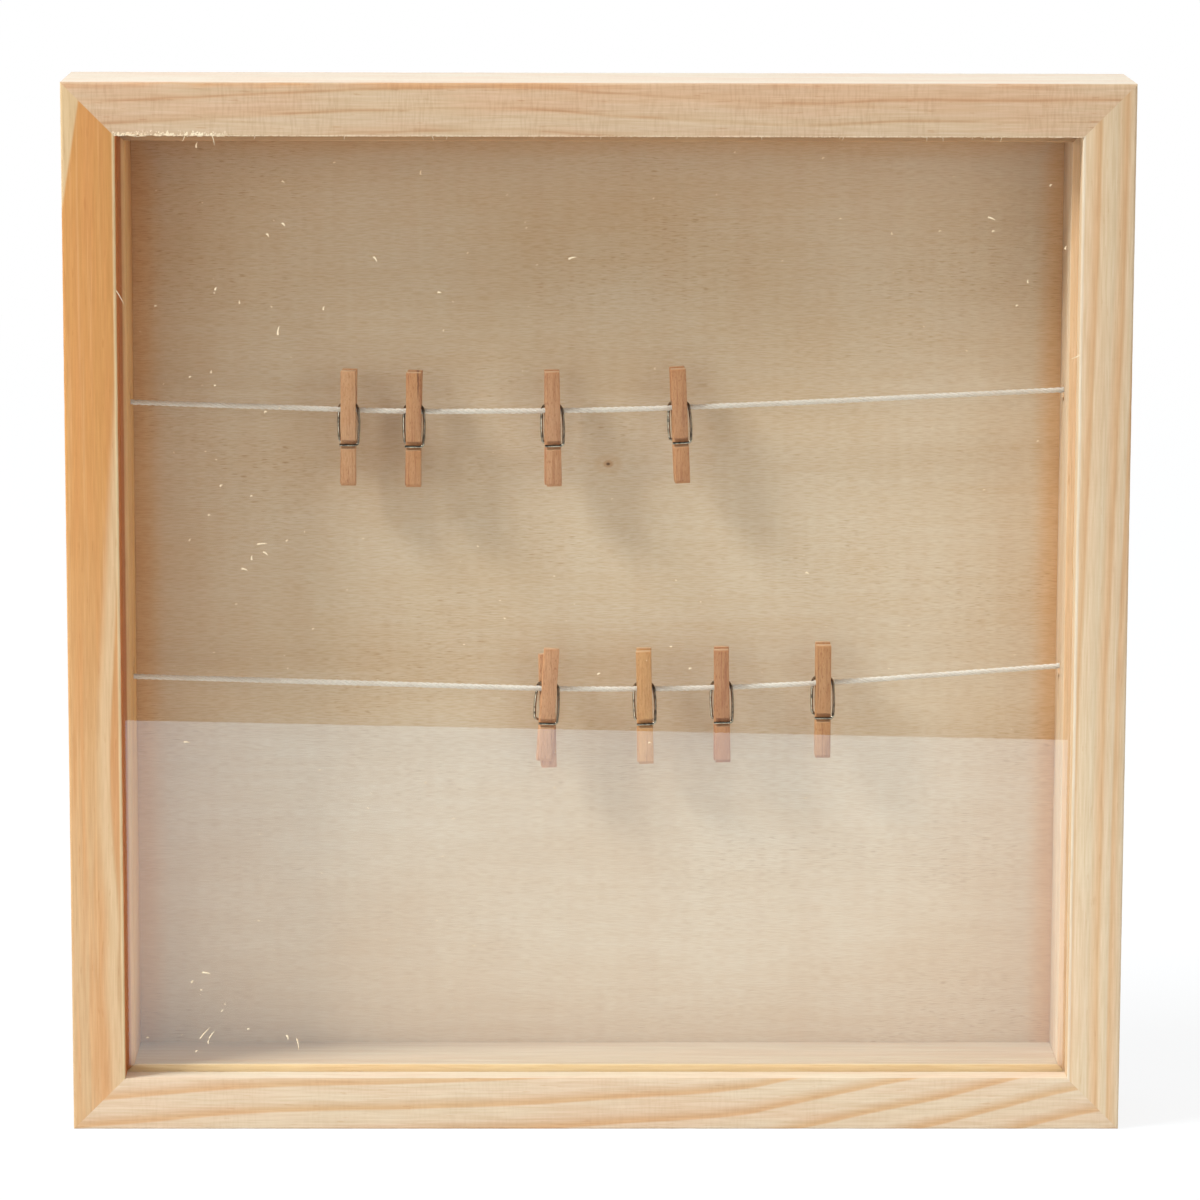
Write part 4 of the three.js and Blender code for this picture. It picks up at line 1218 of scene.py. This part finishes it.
# Surroundings
def make_floor():
    """A pale floor that shows white to the camera and keeps the frame's shadow."""
    look = Look("pale_floor")
    seen = look.larger(look.larger(look.ray("Camera"), look.ray("Transmission")), look.ray("Glossy"))
    tone = look.mix(look.place().noise(0.5), srgb(240, 240, 240), srgb(246, 246, 246))
    paper = look.node("ShaderNodeBsdfDiffuse", {"Color": tone})
    glow = look.node("ShaderNodeEmission", {"Color": WHITE, "Strength": 1.0})
    reach = look.node("ShaderNodeVectorMath", [look.coordinates("Object")], "Value", operation="LENGTH")
    share = seen * reach.spread(0.4, 2.0, FLOOR_GLOW, 1.0)
    look.show(look.node("ShaderNodeMixShader", [share, paper, glow]))
    near, skew = PANE_FRONT - VEIL_REACH + 0.01, VEIL_SKEW * CARD_HALF
    points = [(-FLOOR_HALF, near, 0), (-CARD_HALF, near - skew, 0), (CARD_HALF, near + skew, 0),
              (FLOOR_HALF, near, 0), (FLOOR_HALF, FLOOR_BACK, 0), (-FLOOR_HALF, FLOOR_BACK, 0)]
    floor = mesh_piece("floor", points, [(0, 1, 2, 3, 4, 5)], look.material)


def make_table_card():
    """The lit table top in front of the frame, dimmer near it, which only the pane and the metal mirror."""
    look = Look("table_card")
    mm = look.place()
    y = mm.axes()[1]
    tone = y + mm.noise(0.01) * 90.0
    lit = look.mix(tone.spread(-560.0, -40.0), VEIL_FAR_TINT, VEIL_NEAR_TINT)
    colour = look.mix(y.spread(*VEIL_FOOT), lit, scaled(WHITE, 1.0 / VEIL_GLOW))
    look.show(look.node("ShaderNodeEmission", {"Color": colour, "Strength": VEIL_GLOW}))
    near, far, skew = PANE_FRONT - VEIL_REACH, FRONT - CARD_GAP, VEIL_SKEW * CARD_HALF
    points = [(-CARD_HALF, near - skew, CARD_LIFT), (CARD_HALF, near + skew, CARD_LIFT),
              (CARD_HALF, far, CARD_LIFT), (-CARD_HALF, far, CARD_LIFT)]
    card = mesh_piece("table_card", points, [(0, 1, 2, 3)], look.material)
    card.visible_camera = False
    card.visible_diffuse = False
    card.visible_shadow = False


def make_world():
    """White to the camera. Reflections show a white sweep behind the frame and a dim room in front."""
    world = bpy.data.worlds.new("studio")
    bpy.context.scene.world = world
    look = Look("studio", world, "ShaderNodeOutputWorld")
    _, away, up = look.coordinates("Generated").axes()
    sweep = away.spread(-0.15, 0.35, FRONT_GLOSS, BACK_GLOSS)
    fill = look.mix(up.spread(0.5, 0.9), LOW_FILL, HIGH_FILL)
    fill = look.mix(look.ray("Glossy"), fill, look.joined(sweep, sweep, sweep))
    colour = look.mix(look.larger(look.ray("Camera"), look.ray("Transmission")), fill, WHITE)
    look.show(look.node("ShaderNodeBackground", {"Color": colour, "Strength": 1.0}))


def make_lamp(name, place, size, power, colour):
    data = bpy.data.lights.new(name, "AREA")
    data.shape = "SQUARE"
    data.size = size
    data.energy = power
    data.color = colour
    lamp = link(bpy.data.objects.new(name, data))
    lamp.location = place
    aim = centre - Vector(place)
    lamp.rotation_mode = "QUATERNION"
    lamp.rotation_quaternion = aim.to_track_quat("-Z", "Y")


def make_lights():
    place = centre - Vector(KEY_HEADING).normalized() * KEY_DISTANCE
    make_lamp("key", place, KEY_SIZE, KEY_POWER, KEY_COLOUR)
    for name, place, power in FILLS:
        make_lamp(name, place, FILL_SIZE, power, FILL_COLOUR)


make_camera()
white_cotton = cotton()
make_cord("upper", UPPER_ROUTE, white_cotton)
make_cord("lower", LOWER_ROUTE, white_cotton)
for cord in ("upper", "lower"):
    for side in ("left", "right"):
        make_knot(f"{cord}_knot_{side}", white_cotton)

make_rail("top", "top_rail", top_pine(), TORN_ARRIS_RADIUS, TEAR_DEPTH)
make_rail("bottom", "bottom_rail", bottom_pine())
make_rail("left", "left_stile", left_pine())
make_rail("right", "right_stile", right_pine())
# Front face colours: painted shade on the left and top slips, painted light on the right and bottom ones.
for side, dark, pale, front, reach, shaded_hole_heights in (
    # The top slip is darkened orange-brown as painted shade under the top rail.
    ("top", srgb(190, 144, 98), srgb(204, 160, 114), srgb(196, 150, 102), 2.0, ()),
    ("bottom", srgb(209, 181, 149), srgb(216, 196, 171), srgb(250, 216, 164), 2.0, ()),
    ("left", srgb(228, 174, 112), srgb(240, 191, 131), srgb(206, 124, 64), 1.0, (210.5, 131.5)),
    ("right", srgb(209, 173, 136), srgb(219, 196, 168), srgb(250, 207, 162), 2.0, (128.5,)),
):
    slip = f"spacer_{side}"
    make_from_cad(slip, f"{slip}_wood", "root", slip_pine(side, dark, pale, front, reach, shaded_hole_heights),
                  0.25 * MM, behind=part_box(slip)[0].y + PANE_AIR)
make_from_cad("back_panel", "back_panel_plywood", "back_panel", plywood(), 0.2 * MM)
raw = raw_wood()
make_splinters(raw)
make_flecks(raw)

pane = frame["nodes"]["pane"]
pane.data.materials.clear()
pane.data.materials.append(clear_pane())

steel = spring_steel()
for number in PEG_TINTS:
    make_peg(number, steel)

zinc = zinc_steel()
for number in range(1, 5):
    button = f"turn_button_{number}"
    make_from_cad(button, f"{button}_plate", button, zinc, 0.25 * MM, 3, 50)
    make_screw(number, zinc)
make_from_cad("hanger_plate", "hanger_plate_steel", "root", zinc, 0.15 * MM)
for side in ("left", "right"):
    make_nail(side, zinc)
for corner in ("top_left", "top_right", "bottom_left", "bottom_right"):
    fastener = f"corner_fastener_{corner}"
    make_from_cad(fastener, f"{fastener}_steel", "root", zinc, 0.08 * MM)

make_floor()
make_table_card()
make_world()
make_lights()

bpy.context.scene.view_settings.view_transform = "Standard"
